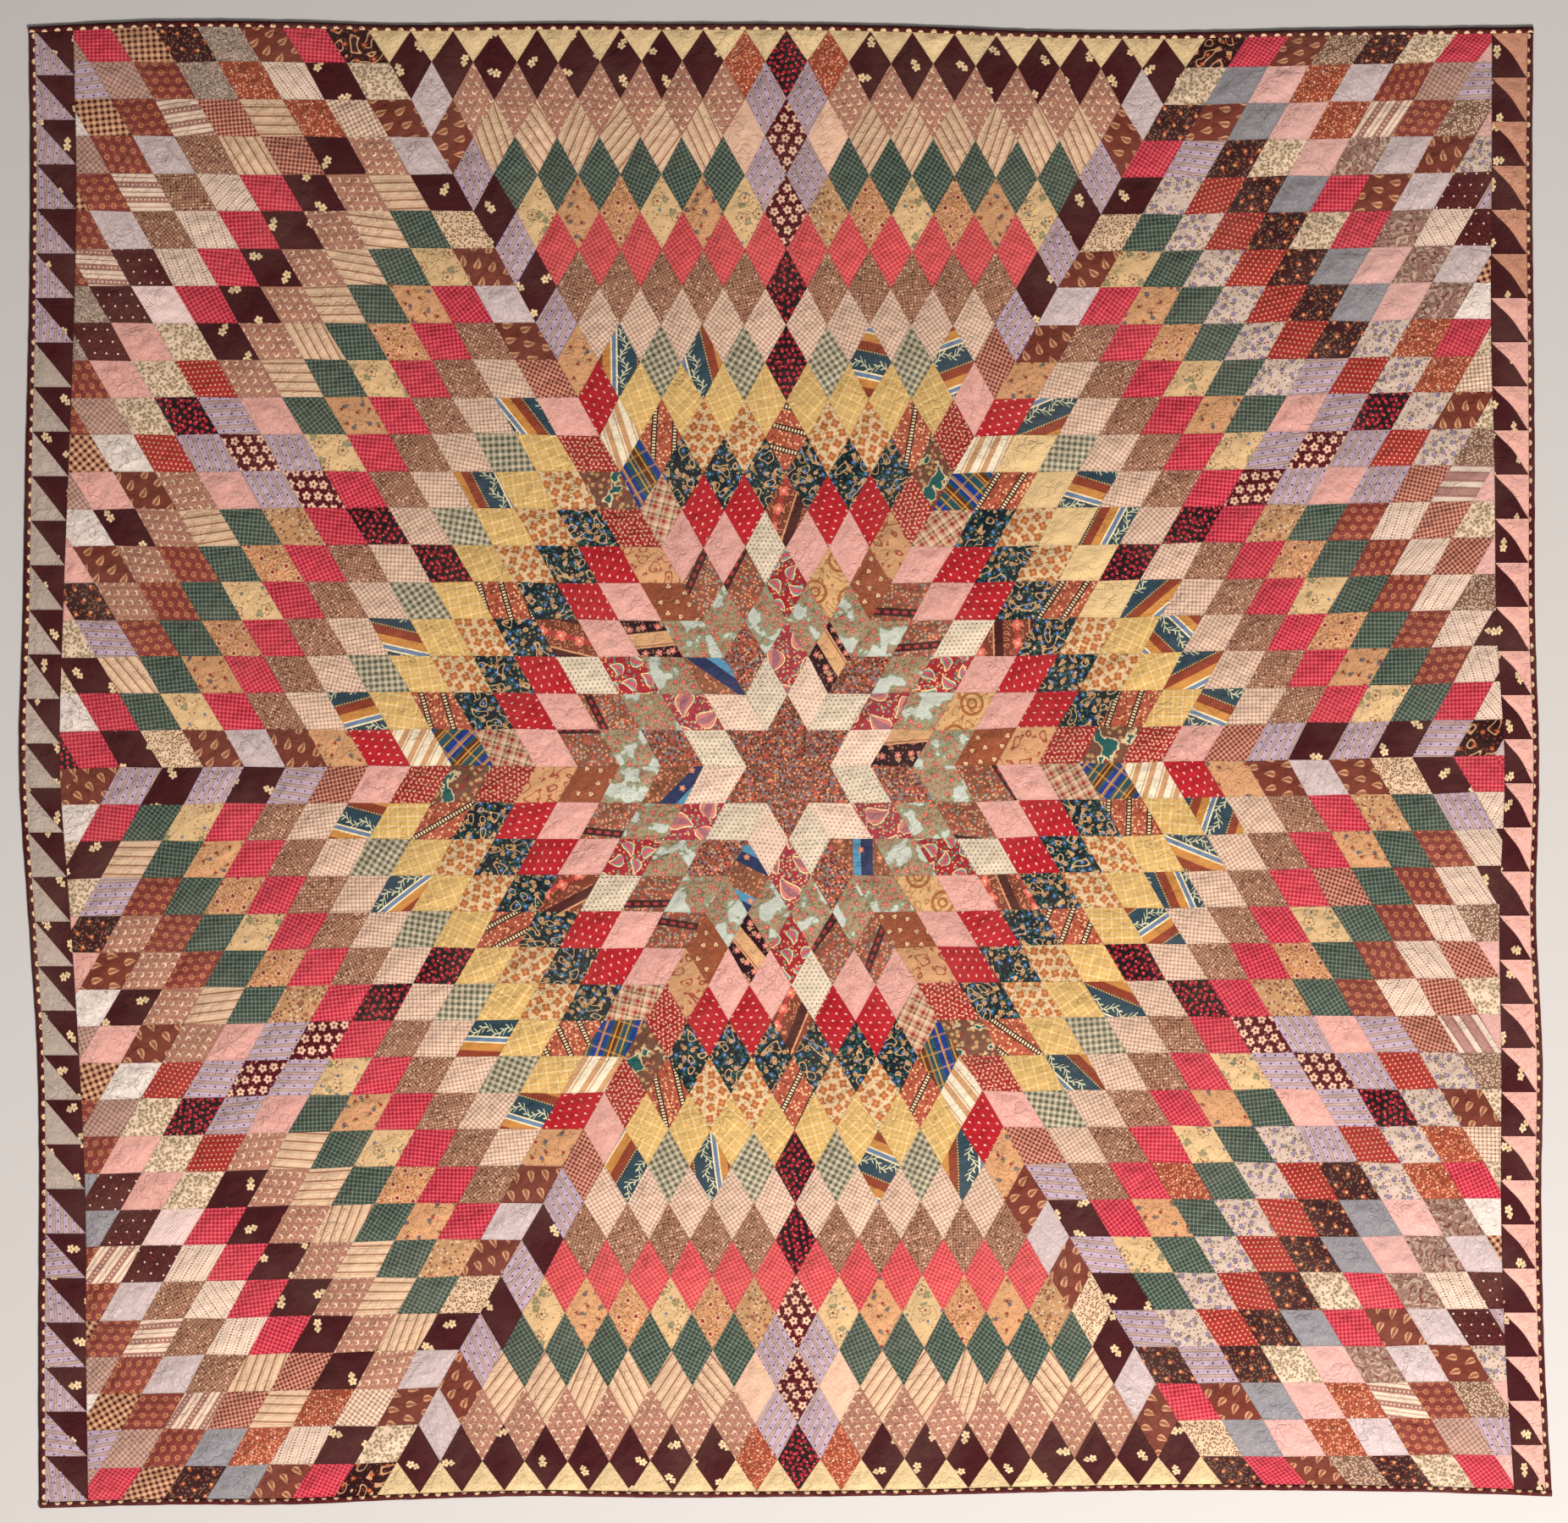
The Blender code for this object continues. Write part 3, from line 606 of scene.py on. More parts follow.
    "tooth_pink": Print("#edb3a6", [specks("#f5c4b8", 3.4, 1.0, 0.4)]),
    "tooth_peach": Print("#c58d73", [specks("#d6a488", 3.4, 1.0, 0.4)]),
    "binding": Print("#4b171a", [dots("#e6c79c", 18, 4.0, row_pitch=40, stagger=0, scatter=2),
        specks("#7a2a26", 5, 1.3, 0.3)], 0, 0),
    "backing": Print("#cdbfa2", [specks("#bfae8c", 5, 1.2, 0.4)]),
}


def paint(code):
    """A colour as a shader needs it, from its usual code."""
    shares = [int(code[start:start + 2], 16) / 255 for start in (1, 3, 5)]
    return (*[share / 12.92 if share < 0.04045 else ((share + 0.055) / 1.055) ** 2.4
              for share in shares], 1.0)


class Result:
    """What a node gives. It is reckoned with as a plain number is."""

    def __init__(self, shade, socket):
        self.shade = shade
        self.socket = socket

    def other(self, name):
        """Another result of the same node."""
        return Result(self.shade, self.socket.node.outputs[name])

    def __add__(self, value):
        return self.shade.math("ADD", self, value)

    def __sub__(self, value):
        return self.shade.math("SUBTRACT", self, value)

    def __rsub__(self, value):
        return self.shade.math("SUBTRACT", value, self)

    def __mul__(self, value):
        return self.shade.math("MULTIPLY", self, value)

    def __truediv__(self, value):
        return self.shade.math("DIVIDE", self, value)

    def __mod__(self, value):
        return self.shade.math("FLOORED_MODULO", self, value)

    def __lt__(self, value):
        return self.shade.math("LESS_THAN", self, value)

    def __gt__(self, value):
        return self.shade.math("GREATER_THAN", self, value)

    def __abs__(self):
        return self.shade.math("ABSOLUTE", self)


class Shade:
    """Short words for putting nodes into a material or a node group."""

    def __init__(self, tree):
        self.tree = tree

    def feed(self, socket, value):
        """Link a result to a socket, or give the socket a plain value."""
        if isinstance(value, Result):
            self.tree.links.new(value.socket, socket)
        else:
            socket.default_value = value

    def node(self, kind, *values, output=0, **named):
        """Add a node and give one of its results. Inputs are given in turn or by their names,
        which start with a capital. The other names are the node's options."""
        node = self.tree.nodes.new("ShaderNode" + kind)
        for name in filter(str.islower, named):
            setattr(node, name, named[name])
        for socket, value in zip(node.inputs, values):
            self.feed(socket, value)
        for name in filter(str.istitle, named):
            self.feed(node.inputs[name], named[name])
        return Result(self, node.outputs[output])

    def group(self, name, settings):
        """Place a shared node group, set its inputs and give its first result."""
        node = self.tree.nodes.new("ShaderNodeGroup")
        node.node_tree = shared_group(name)
        for label, value in settings.items():
            self.feed(node.inputs[label], value)
        return Result(self, node.outputs[0])

    def math(self, operation, *values):
        """A sum on numbers."""
        return self.node("Math", *values, operation=operation)

    def vector(self, operation, *values):
        """A sum on vectors."""
        return self.node("VectorMath", *values, operation=operation)

    def length(self, vector):
        """How long a vector is."""
        return self.node("VectorMath", vector, operation="LENGTH", output="Value")

    def ramp(self, value, low, high):
        """0 at low and 1 at high, with a soft step between them."""
        return self.node("MapRange", value, low, high, interpolation_type="SMOOTHSTEP")

    def inside(self, over):
        """1 where a distance past an edge is below zero, with the soft edge of printed ink."""
        return self.ramp(over, SOFT_EDGE, -SOFT_EDGE)

    def either(self, first, second):
        """The larger of two masks."""
        return self.math("MAXIMUM", first, second)

    def noise(self, vector, scale, detail):
        """Soft clouds from 0 to 1."""
        return self.node("TexNoise", noise_dimensions="3D", Vector=vector, Scale=scale,
                         Detail=detail)

    def chance(self, vector, output):
        """A random number or colour for each vector of whole numbers."""
        return self.node("TexWhiteNoise", noise_dimensions="3D", Vector=vector, output=output)

    def mix(self, factor, low, high, blend="MIX"):
        """Lay one colour over another."""
        node = self.node("Mix", factor, data_type="RGBA", blend_type=blend).socket.node
        self.feed(node.inputs[6], low)
        self.feed(node.inputs[7], high)
        return Result(self, node.outputs[2])

    def split(self, vector):
        """X and Y of a vector."""
        x = self.node("SeparateXYZ", vector)
        return x, x.other("Y")

    def join(self, x, y, z=0.0):
        """A vector of three numbers."""
        return self.node("CombineXYZ", x, y, z)

    def placed(self, vector, size, right, up):
        """A vector seen from a point that lies some sizes to the right and up."""
        return self.vector("SUBTRACT", vector, self.join(size * right, size * up))

    def bloom(self, vector, size, petals, notch):
        """How far a point is past the edge of a flower, and past its heart's."""
        radius = self.length(vector)
        x, y = self.split(vector)
        lobe = abs(self.math("COSINE", self.math("ARCTAN2", y, x) * (petals * 0.5)))
        return radius - size * (lobe * notch + (1.0 - notch)), radius - size * HEART_SHARE


SHARED = {}
CELL_INPUTS = {"Pitch": 12.0, "Row Pitch": 12.0, "Stagger": 0.5, "Scatter": 0.0, "Turn": 0.0,
               "Seed": 0.0}
SOCKET_KINDS = {"Vector": "NodeSocketVector", "Local": "NodeSocketVector",
                "Color": "NodeSocketColor"}
SOFT_EDGE = 0.55
HEART_SHARE = 0.26


def shared(name, outputs, **inputs):
    """Mark a function as the maker of a shared node group with these inputs and outputs."""
    def keep(build):
        SHARED[name] = (outputs, inputs, build)
        return build
    return keep


def shared_group(name):
    """The shared node group of that name, built when it is first asked for."""
    if name in bpy.data.node_groups:
        return bpy.data.node_groups[name]
    outputs, inputs, build = SHARED[name]
    tree = bpy.data.node_groups.new(name, "ShaderNodeTree")
    for in_out, labels in (("INPUT", inputs), ("OUTPUT", outputs)):
        for label in labels:
            kind = SOCKET_KINDS.get(label, "NodeSocketFloat")
            socket = tree.interface.new_socket(label, in_out=in_out, socket_type=kind)
            if in_out == "INPUT" and inputs[label] is not None:
                socket.default_value = inputs[label]
    entry = tree.nodes.new("NodeGroupInput")
    leave = tree.nodes.new("NodeGroupOutput")
    shade = Shade(tree)
    results = build(shade, {label: Result(shade, entry.outputs[label]) for label in inputs})
    for label, value in zip(outputs, results):
        shade.feed(leave.inputs[label], value)
    return tree


@shared("cells", ["Local", "Pick"], Vector=None, **CELL_INPUTS)
def make_cells(shade, given):
    """Staggered cells with a motif in each, moved and turned a little."""
    pitch, row_pitch, scatter = given["Pitch"], given["Row Pitch"], given["Scatter"]
    x, y = shade.split(given["Vector"])
    y = y / row_pitch
    row = shade.math("FLOOR", y)
    x = x / pitch + row % 2.0 * given["Stagger"]
    column = shade.math("FLOOR", x)
    random = shade.chance(shade.join(column, row, given["Seed"]), "Color")
    move_x, move_y = shade.split(shade.vector("SUBTRACT", random, (0.5, 0.5, 0.5)))
    place = shade.join((x - column - 0.5) * pitch - move_x * scatter,
                       (y - row - 0.5) * row_pitch - move_y * scatter)
    turn = (random.other("Value") - 0.5) * given["Turn"]
    local = shade.node("VectorRotate", rotation_type="Z_AXIS", Vector=place, Angle=turn)
    return local, shade.chance(shade.join(row, column, given["Seed"] + 7.5), "Value")


def scattered(shade, given):
    """The cell a point is in: its place in it and the cell's own random number."""
    local = shade.group("cells", {label: given[label] for label in ("Vector", *CELL_INPUTS)})
    return local, local.other("Pick")


@shared("dots", ["Mask"], Vector=None, **CELL_INPUTS, Size=1.5, Share=1.0)
def make_dots(shade, given):
    """Round dots."""
    local, pick = scattered(shade, given)
    return [shade.inside(shade.length(local) - given["Size"]) * (pick < given["Share"])]


@shared("rings", ["Mask"], Vector=None, **CELL_INPUTS, Size=4.0, Width=1.0)
def make_rings(shade, given):
    """Rings."""
    local, _ = scattered(shade, given)
    off = abs(shade.length(local) - given["Size"])
    return [shade.inside(off - given["Width"] * 0.5)]


@shared("flowers", ["Mask", "Heart", "Leaf", "Outline"], Vector=None, **CELL_INPUTS, Size=5.0,
        Petals=5.0, Share=1.0)
def make_flowers(shade, given):
    """Open flowers with a heart, and leaves beside each."""
    local, pick = scattered(shade, given)
    size = given["Size"]
    over, heart_over = shade.bloom(local, size, given["Petals"], 0.42)
    leaf = 0.0
    for right, up, wide in ((1.25, 0.42, 0.40), (1.3, -0.38, 0.36), (1.8, 0.05, 0.34)):
        away = shade.length(shade.placed(local, size, right, up))
        leaf = shade.either(leaf, shade.inside(away - size * wide))
    there = pick < given["Share"]
    masks = (shade.inside(over), shade.inside(heart_over), leaf, shade.ramp(abs(over), 0.9, 0.3))
    return [mask * there for mask in masks]


@shared("crescents", ["Mask"], Vector=None, **CELL_INPUTS, Size=3.0)
def make_crescents(shade, given):
    """Small new moons."""
    local, _ = scattered(shade, given)
    size = given["Size"]
    outer, inner = (shade.inside(shade.length(shade.placed(local, size, shift, 0.0)) - size * share)
                    for shift, share in ((0.0, 1.0), (0.45, 0.75)))
    return [outer * (1.0 - inner)]


@shared("commas", ["Mask", "Outline", "Core"], Vector=None, **CELL_INPUTS, Size=5.0,
        Slimness=0.5, Bend=0.0, Share=1.0)
def make_commas(shade, given):
    """Drops with one round end, bent over at the other: paisleys when they are large."""
    local, pick = scattered(shade, given)
    size = given["Size"]
    x, y = shade.split(local)
    up = y / size
    side = x - up * up * given["Bend"] * size
    belly = shade.math("SQRT", shade.math("MAXIMUM", 0.0, 1.0 - up * up))
    half = belly * (up * -0.6 + 0.85) * (size * given["Slimness"])
    over = abs(side) - half
    there = (abs(up) < 1.0) * (pick < given["Share"])
    masks = (shade.inside(over), shade.ramp(abs(over), 1.3, 0.5), shade.inside(half * 0.55 + over))
    return [mask * there for mask in masks]


@shared("stripes", ["Mask"], Vector=None, Pitch=10.0, Width=2.0, Offset=0.0, Dash=0.0)
def make_stripes(shade, given):
    """Lines along the cloth, whole or broken into dashes."""
    x, y = shade.split(given["Vector"])
    off = shade.math("PINGPONG", y - given["Offset"], given["Pitch"] * 0.5)
    line = shade.inside(off - given["Width"] * 0.5)
    dash = shade.math("MAXIMUM", given["Dash"], 0.1)
    gap = shade.ramp(shade.math("PINGPONG", x, dash * 0.5) / dash, 0.28, 0.18)
    return [line * (1.0 - (given["Dash"] > 0.05) * gap)]


@shared("checks", ["Mask"], Vector=None, Pitch=6.0, Width=2.0, Offset=0.0)
def make_checks(shade, given):
    """Woven lines both ways: half the ink on each, all of it where they cross."""
    warp, weft = (shade.inside(shade.math("PINGPONG", place - given["Offset"], given["Pitch"] * 0.5)
                               - given["Width"] * 0.5) for place in shade.split(given["Vector"]))
    return [(warp + weft) * 0.5]


@shared("specks", ["Mask"], Vector=None, Pitch=4.0, Size=1.2, Share=0.5, Seed=0.0)
def make_specks(shade, given):
    """Uneven flecks of one colour."""
    pitch, seed = given["Pitch"], given["Seed"]
    moved = shade.vector("ADD", given["Vector"], shade.join(seed * 31.7, seed * 17.3))
    scaled = shade.vector("DIVIDE", moved, shade.join(pitch, pitch, 1.0))
    near = shade.node("TexVoronoi", voronoi_dimensions="2D", feature="F1", Vector=scaled,
                      Scale=1.0, output="Distance")
    pick, _ = shade.split(near.other("Color"))
    return [shade.inside(near * pitch - given["Size"]) * (pick < given["Share"])]


def drifts(shade, given, detail):
    """Clouds as wide as the pitch, others for each seed."""
    scaled = shade.vector("DIVIDE", given["Vector"],
                          shade.join(given["Pitch"], given["Pitch"], 1.0))
    moved = shade.vector("ADD", scaled, shade.join(0.0, 0.0, given["Seed"] * 3.7))
    return shade.noise(moved, 1.0, detail)


@shared("squiggles", ["Mask"], Vector=None, Pitch=10.0, Width=0.1, Seed=0.0)
def make_squiggles(shade, given):
    """Scrolling lines that close on themselves."""
    level = shade.math("PINGPONG", drifts(shade, given, 0.0) * 3.0, 0.5)
    half = given["Width"] * 0.8
    return [shade.ramp(level, half + 0.05, half)]


@shared("blotches", ["Mask", "Rim"], Vector=None, Pitch=40.0, Share=0.5, Seed=0.0)
def make_blotches(shade, given):
    """Large patches of colour with ragged edges."""
    level = drifts(shade, given, 3.0) - (0.72 - given["Share"] * 0.44)
    return shade.ramp(level, -0.01, 0.01), shade.ramp(abs(level), 0.025, 0.008)


@shared("vines", ["Mask"], Vector=None, Pitch=60.0, Wave=20.0, Reach=4.0, Width=1.5)
def make_vines(shade, given):
    """A stem that winds along a stripe, with leaves that slant forward on both sides."""
    x, y = shade.split(given["Vector"])
    half = given["Pitch"] * 0.5
    middle = shade.math("SINE", x / given["Wave"] * math.tau) * given["Reach"]
    side = (y + half) % given["Pitch"] - half - middle
    off = abs(side)
    stem = shade.inside(off - given["Width"] * 0.5)
    staggered = (side > 0.0) * 3.6 + (off * -0.8 + x)
    leaf = shade.inside(shade.math("PINGPONG", staggered, 3.6) - 0.85)
    return [shade.either(stem, leaf * shade.ramp(off, 7.0, 5.5))]


SOIL = "#cdb49c"
WEAVE = (5.2, 5.2, 5.2)


@shared("aged_cotton", ["Color", "Roughness", "Height"], Color=(0.5, 0.5, 0.5, 1.0), Fade=0.16,
        Mottle=0.16, Seam_Shade=0.2, Crease_Shade=0.1)
def make_aged_and_shaded_cotton(shade, given):
    """What a century does to printed cotton: fading, soiling and worn threads; with painted shade that
    darkens the seams and the creases.
    """
    space = shade.node("TexCoord", output="Object")
    cloth = shade.node("UVMap", uv_map="print")
    tone, seam = (shade.node("Attribute", attribute_name=name, output="Fac")
                  for name in ("tone", "seam"))
    worn = shade.ramp(shade.noise(space, 9.0, 3.0), 0.35, 0.75) * given["Fade"]
    threads = shade.noise(cloth, 0.55, 2.0) - 0.5
    # The thin creases: pressed in through the height below, and darkened as painted shade.
    crease = (shade.ramp(abs(shade.noise(space, 62.0, 1.5) - 0.5), 0.04, 0.0)
              * shade.ramp(shade.noise(space, 21.0, 0.0), 0.38, 0.6))
    value = threads * given["Mottle"] + tone
    # Painted shade: darker along the seams, where the cloth dips.
    value = value * (1.0 - shade.ramp(seam, 2.2, 0.0) * given["Seam_Shade"])
    # Painted shade: darker in the thin creases.
    value = value * (1.0 - crease * given["Crease_Shade"])
    color = shade.mix(worn, given["Color"], paint(SOIL))
    color = shade.mix(1.0, color, shade.join(value, value, value), "MULTIPLY")
    warp, weft = shade.split(shade.vector("MULTIPLY", cloth, WEAVE))
    weave = shade.math("SINE", warp) * shade.math("SINE", weft)
    height = crease * -0.35 + (weave * 0.05 + shade.noise(cloth, 0.16, 3.0))
    return color, threads * 0.2 + 0.9, height


BUMP_DEPTH = 1.8 * MM
BUMP_STRENGTH = 0.8
SHEEN = 0.05
SPECULAR = 0.15


def fabric(name):
    """The material of one print, made when it is first cut."""
    if name in bpy.data.materials:
        return bpy.data.materials[name]
    cloth = PRINTS[name]
    material = bpy.data.materials.new(name)
    material.use_nodes = True
    shade = Shade(material.node_tree)
    shader = material.node_tree.nodes["Principled BSDF"]
    place = shade.node("UVMap", uv_map="print")
    color = paint(cloth.ground)
    patterns = {}
    for pattern, ink, output, settings in cloth.layers:
        key = (pattern, *sorted(settings.items()))
        if key not in patterns:
            patterns[key] = shade.group(pattern, {"Vector": place, **settings})
        color = shade.mix(patterns[key].other(output), color, paint(ink))
    looks = bpy.context.scene.quilt_colours
    # Age the print, and darken its seams and creases with painted shade.
    aged = shade.group("aged_cotton", {"Color": color, "Fade": looks.fade,
                                       "Mottle": looks.mottle, "Seam_Shade": looks.seam_shade,
                                       "Crease_Shade": looks.crease_shade})
    bump = shade.node("Bump", Strength=BUMP_STRENGTH, Distance=BUMP_DEPTH,
                      Height=aged.other("Height"))
    for label, value in {"Base Color": aged, "Roughness": aged.other("Roughness"),
                         "Normal": bump, "Sheen Weight": SHEEN,
                         "Specular IOR Level": SPECULAR}.items():
        shade.feed(shader.inputs[label], value)
    material.diffuse_color = paint(cloth.ground)
    return material


def chance(column, row, seed):
    """A fixed number from 0 to 1 for each pair of whole numbers."""
    mixed = np.sin(column * 127.1 + row * 311.7 + seed * 74.7) * 43758.5453
    return mixed - np.floor(mixed)


def ripple(x, y, size, seed):
    """Soft hills and hollows of a size, from -1 to 1."""
    column, row = np.floor(x / size), np.floor(y / size)
    across, up = x / size - column, y / size - row
    across, up = (t * t * (3.0 - 2.0 * t) for t in (across, up))
    low, high = (chance(column, row + step, seed) * (1 - across)
                 + chance(column + 1, row + step, seed) * across for step in (0, 1))
    return 2.0 * (low * (1 - up) + high * up) - 1.0


def rise(share):
    """A puff's rounded rise from the dip of its seam, from 0 to 1."""
    share = np.clip((share - FLAT_AT_SEAM) / (1.0 - FLAT_AT_SEAM), 0.0, 1.0)
    return share * share * (3.0 - 2.0 * share)


def from_sides(across, up):
    """How far points are from the two sides of their half of a patch, and from its fold."""
    near = across + up <= 1.0
    return (np.where(near, across, 1.0 - across), np.where(near, up, 1.0 - up),
            np.abs(1.0 - across - up))


def sheet_height(x, y, puff, relief):
    """Height of the top face: the sewn-down sheet, the puff on it and the crinkles of age."""
    sewn = SEAM_THICKNESS * (1.0 + UNEVENNESS * ripple(x, y, SHEET_RIPPLE, 1))
    puffed = relief.puff_height * puff * (1.0 + UNEVENNESS * ripple(x, y, PUFF_RIPPLE, 2))
    crinkle = 0.35 * ripple(x, y, WRINKLE, 5) + 0.15 * ripple(x, y, WRINKLE / 2, 6)
    bent = RIDGE_BEND * ripple(x, y, RIDGE_BEND_RIPPLE, 3)
    for right, up, weight in RIDGES:
        crossing, running = x * right + y * up + bent, y * right - x * up
        wave = ripple(crossing, running * RIDGE_STRETCH, RIDGE_SPACING, 4 + weight)
        ridge = 1.0 - np.abs(wave)
        crinkle -= weight * (ridge ** 4 - RIDGE_MEAN)
    depth = relief.crinkle_depth * (CRINKLE_AT_SEAM + (1.0 - CRINKLE_AT_SEAM) * puff)
    return sewn + puffed + depth * crinkle


def lay_grid(reach, lines_wanted, steps):
    """Points of a sheet as lines that run out to a slanting end, and the faces between them."""
    lines, places = [], []
    for line in range(lines_wanted + 1):
        up = line / steps
        end = reach(up)
        count = max(math.ceil(end * steps - END_SNAP), 0)
        lines.append(list(range(len(places), len(places) + count + 1)))
        places += [(step / steps, up, end) for step in range(count)] + [(end, up, end)]
    faces = []
    for low, high in zip(lines, lines[1:]):
        both = min(len(low), len(high)) - 1
        faces += [(low[k], low[k + 1], high[k + 1], high[k]) for k in range(both)]
        faces += [(low[k], low[k + 1], high[-1]) for k in range(both, len(low) - 1)]
        faces += [(low[-1], high[k + 1], high[k]) for k in range(both, len(high) - 1)]
    return np.array(places), lines, faces


def thinned(points, steps):
    """Only the patch corners of a line, and its last point."""
    kept = points[::steps]
    return kept if kept[-1] == points[-1] else kept + points[-1:]


def underside(lines, steps):
    """One face for each patch of the underside, with every point of the sheet's rim in it."""
    faces = []
    last = len(lines) - 1
    for start in range(0, last, steps):
        low, high = lines[start], lines[start + steps]
        whole = (min(len(low), len(high)) - 1) // steps
        cuts = [k * steps for k in range(whole + 1)]
        if max(len(low), len(high)) - 1 == cuts[-1]:
            cuts.pop()
        for first in cuts:
            at_end = first == cuts[-1]
            stop = None if at_end else first + steps + 1
            bottom, top = low[first:stop], high[first:stop]
            bottom = bottom if start == 0 else thinned(bottom, steps)
            top = top if start + steps == last else thinned(top, steps)
            right = [line[-1] for line in lines[start + 1:start + steps]] if at_end else []
            left = [line[0] for line in lines[start + 1:start + steps]] if first == 0 else []
            faces.append(bottom + right + top[::-1] + left[::-1])
    return faces


def close_sheet(places, lines, faces, steps):
    """Add the rim and the underside to a sheet. Gives the places, the faces and how many of
    the points and faces are the top's."""
    rim = lines[0] + [line[-1] for line in lines[1:]] + lines[-1][::-1][1:]
    rim += [line[0] for line in lines[-2:0:-1]]
    under = underside(lines, steps)
    below = {}
    for face in under:
        for point in face:
            below.setdefault(point, len(places) + len(below))
    walls = [(end, start, below[start], below[end]) for start, end in zip(rim, rim[1:] + rim[:1])]
    under = [tuple(below[point] for point in reversed(face)) for face in under]
    all_places = np.concatenate([places, places[list(below)]])
    return all_places, faces + walls + under, len(places), len(faces)


def make_cloth(name, place, faces, top_faces, mirrored, sharp=RIM_ANGLE):
    """A mesh object from its x, y and z and its faces, smooth on top and flat elsewhere."""
    if mirrored:
        faces = [tuple(reversed(face)) for face in faces]
    x, y, z = place
    points = np.column_stack([x + STAR_MIDDLE[0], y + STAR_MIDDLE[1], z])
    mesh = bpy.data.meshes.new(name)
    mesh.from_pydata(points.tolist(), [], faces)
    mesh.polygons.foreach_set("use_smooth", np.arange(len(faces)) < top_faces)
    mesh.set_sharp_from_angle(angle=sharp)
    piece = bpy.data.objects.new(name, mesh)
    bpy.context.scene.collection.objects.link(piece)
    return piece


def add_values(mesh, name, domain, values):
    """Keep a number for each point or face, for the materials."""
    attribute = mesh.attributes.new(name, "FLOAT", domain)
    attribute.data.foreach_set("value", np.asarray(values, np.float32))


def add_map(mesh, u, v):
    """Lay the print map, in millimetres of cloth, for each corner of the mesh's faces."""
    places = np.column_stack([u, v]).astype(np.float32)
    mesh.uv_layers.new(name="print").data.foreach_set("uv", places.ravel())


def corners_of(mesh):
    """For each corner of the mesh's faces: its point and its face, and the corners per face."""
    totals = np.empty(len(mesh.polygons), np.int32)
    mesh.polygons.foreach_get("loop_total", totals)
    points = np.empty(len(mesh.loops), np.int32)
    mesh.loops.foreach_get("vertex_index", points)
    return points, np.repeat(np.arange(len(totals)), totals), totals


# The share of patches cut with their grain along the first side, not along the other.
GRAIN_ON_FIRST_SIDE = 0.6
# How long a cloth is that patches are cut from, in millimetres, and how far their tone varies.
CLOTH_LENGTH = 900.0
TONE_SPREAD = 0.14


def cut_prints(piece, across, up, patch_x, patch_y, names, top_faces, ways=(0.0, 60.0)):
    """Give each face its print and lay the print map, cut anew for each patch.

    across and up are places on the uncreased cloth in millimetres for each corner,
    patch_x and patch_y number the patch of each face, names gives its print and ways the
    two directions its grain may take."""
    mesh = piece.data
    _, owner, _ = corners_of(mesh)
    patches, which = np.unique(np.column_stack([patch_x, patch_y]), axis=0, return_inverse=True)
    which = which.ravel()
    cut_names = [names(int(column), int(row)) for column, row in patches]
    slots = ["backing"] + sorted(set(cut_names))
    for slot in slots:
        mesh.materials.append(fabric(slot))
    slot_of = np.array([slots.index(name) for name in cut_names])
    top = np.arange(len(which)) < top_faces
    mesh.polygons.foreach_set("material_index", np.where(top, slot_of[which], 0).astype(np.int32))
    columns, rows = patches.T.astype(float)
    seed = sum(map(ord, piece.name)) % 97
    turn = np.radians([PRINTS[name].turn for name in cut_names])
    turn += np.radians(np.where(chance(columns, rows, seed + 4) > GRAIN_ON_FIRST_SIDE,
                                ways[1], ways[0]))
    spread = np.radians([PRINTS[name].spread for name in cut_names])
    angle = (turn + spread * (2.0 * chance(columns, rows, seed) - 1.0))[which][owner]
    slide_x = CLOTH_LENGTH * chance(columns, rows, seed + 1)[which][owner]
    slide_y = CLOTH_LENGTH * chance(columns, rows, seed + 2)[which][owner]
    add_map(mesh, across * np.cos(angle) + up * np.sin(angle) + slide_x,
            up * np.cos(angle) - across * np.sin(angle) + slide_y)
    tones = 1.0 + TONE_SPREAD * (chance(columns, rows, seed + 3) - 0.5)
    add_values(mesh, "tone", "FACE", tones[which])


def declare(piece, node, with_pieces=()):
    """Ride the piece and let it stand for its CAD node."""
    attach(piece, "root")
    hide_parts(node)


def plan_area(mesh, faces):
    """Area of the first faces of a mesh as seen from above."""
    return sum(face.area * abs(face.normal.z) for face in mesh.polygons[:faces])


def chart_words(text):
    """The words of a chart line, each repeated as often as it says."""
    words = []
    for word in text.split():
        name, _, count = word.partition("*")
        words += [name] * int(count or 1)
    return words


def print_of(sector, first, second):
    """The print of the patch at a place of a sector."""
    odd = ODD_PATCHES[sector.name].get((first, second))
    if odd:
        return odd
    ring = first + second
    if ring == 0:
        return "speckle"
    if second == 0 or first == 0:
        words = chart_words(sector.spine if second == 0 else sector.far_spine)
        return words[min(ring, len(words)) - 1]
    if ring in sector.chart:
        start, text = sector.chart[ring]
        words = chart_words(text)
        return words[min(max(second - start, 0), len(words) - 1)]
    if first == second and ring in MIDDLE_PATCHES:
        return MIDDLE_PATCHES[ring]
    return ROUNDS[min(ring, len(ROUNDS) - 1)]


def slipped(column, row, u, t, first, second):
    """How far hand sewing has moved a point, from the slips of its patch's four corners."""
    base_u, base_t = np.floor(u), np.floor(t)
    share_u, share_t = u - base_u, t - base_t
    moved = np.zeros((2, len(u)))
    for step_u in (0, 1):
        for step_t in (0, 1):
            weight = (share_u if step_u else 1 - share_u) * (share_t if step_t else 1 - share_t)
            corner_u, corner_t = base_u + step_u, base_t + step_t
            corner_column = corner_u * first[0] + corner_t * second[0]
            corner_row = corner_u * first[1] + corner_t * second[1]
            for axis in (0, 1):
                moved[axis] += weight * (chance(2 * corner_column, corner_row, 20 + axis) - 0.5)
    inner = np.clip(ROWS_TO_EDGE - np.abs(row), 0.0, 1.0)
    return 2.0 * CORNER_SLIP * moved * inner


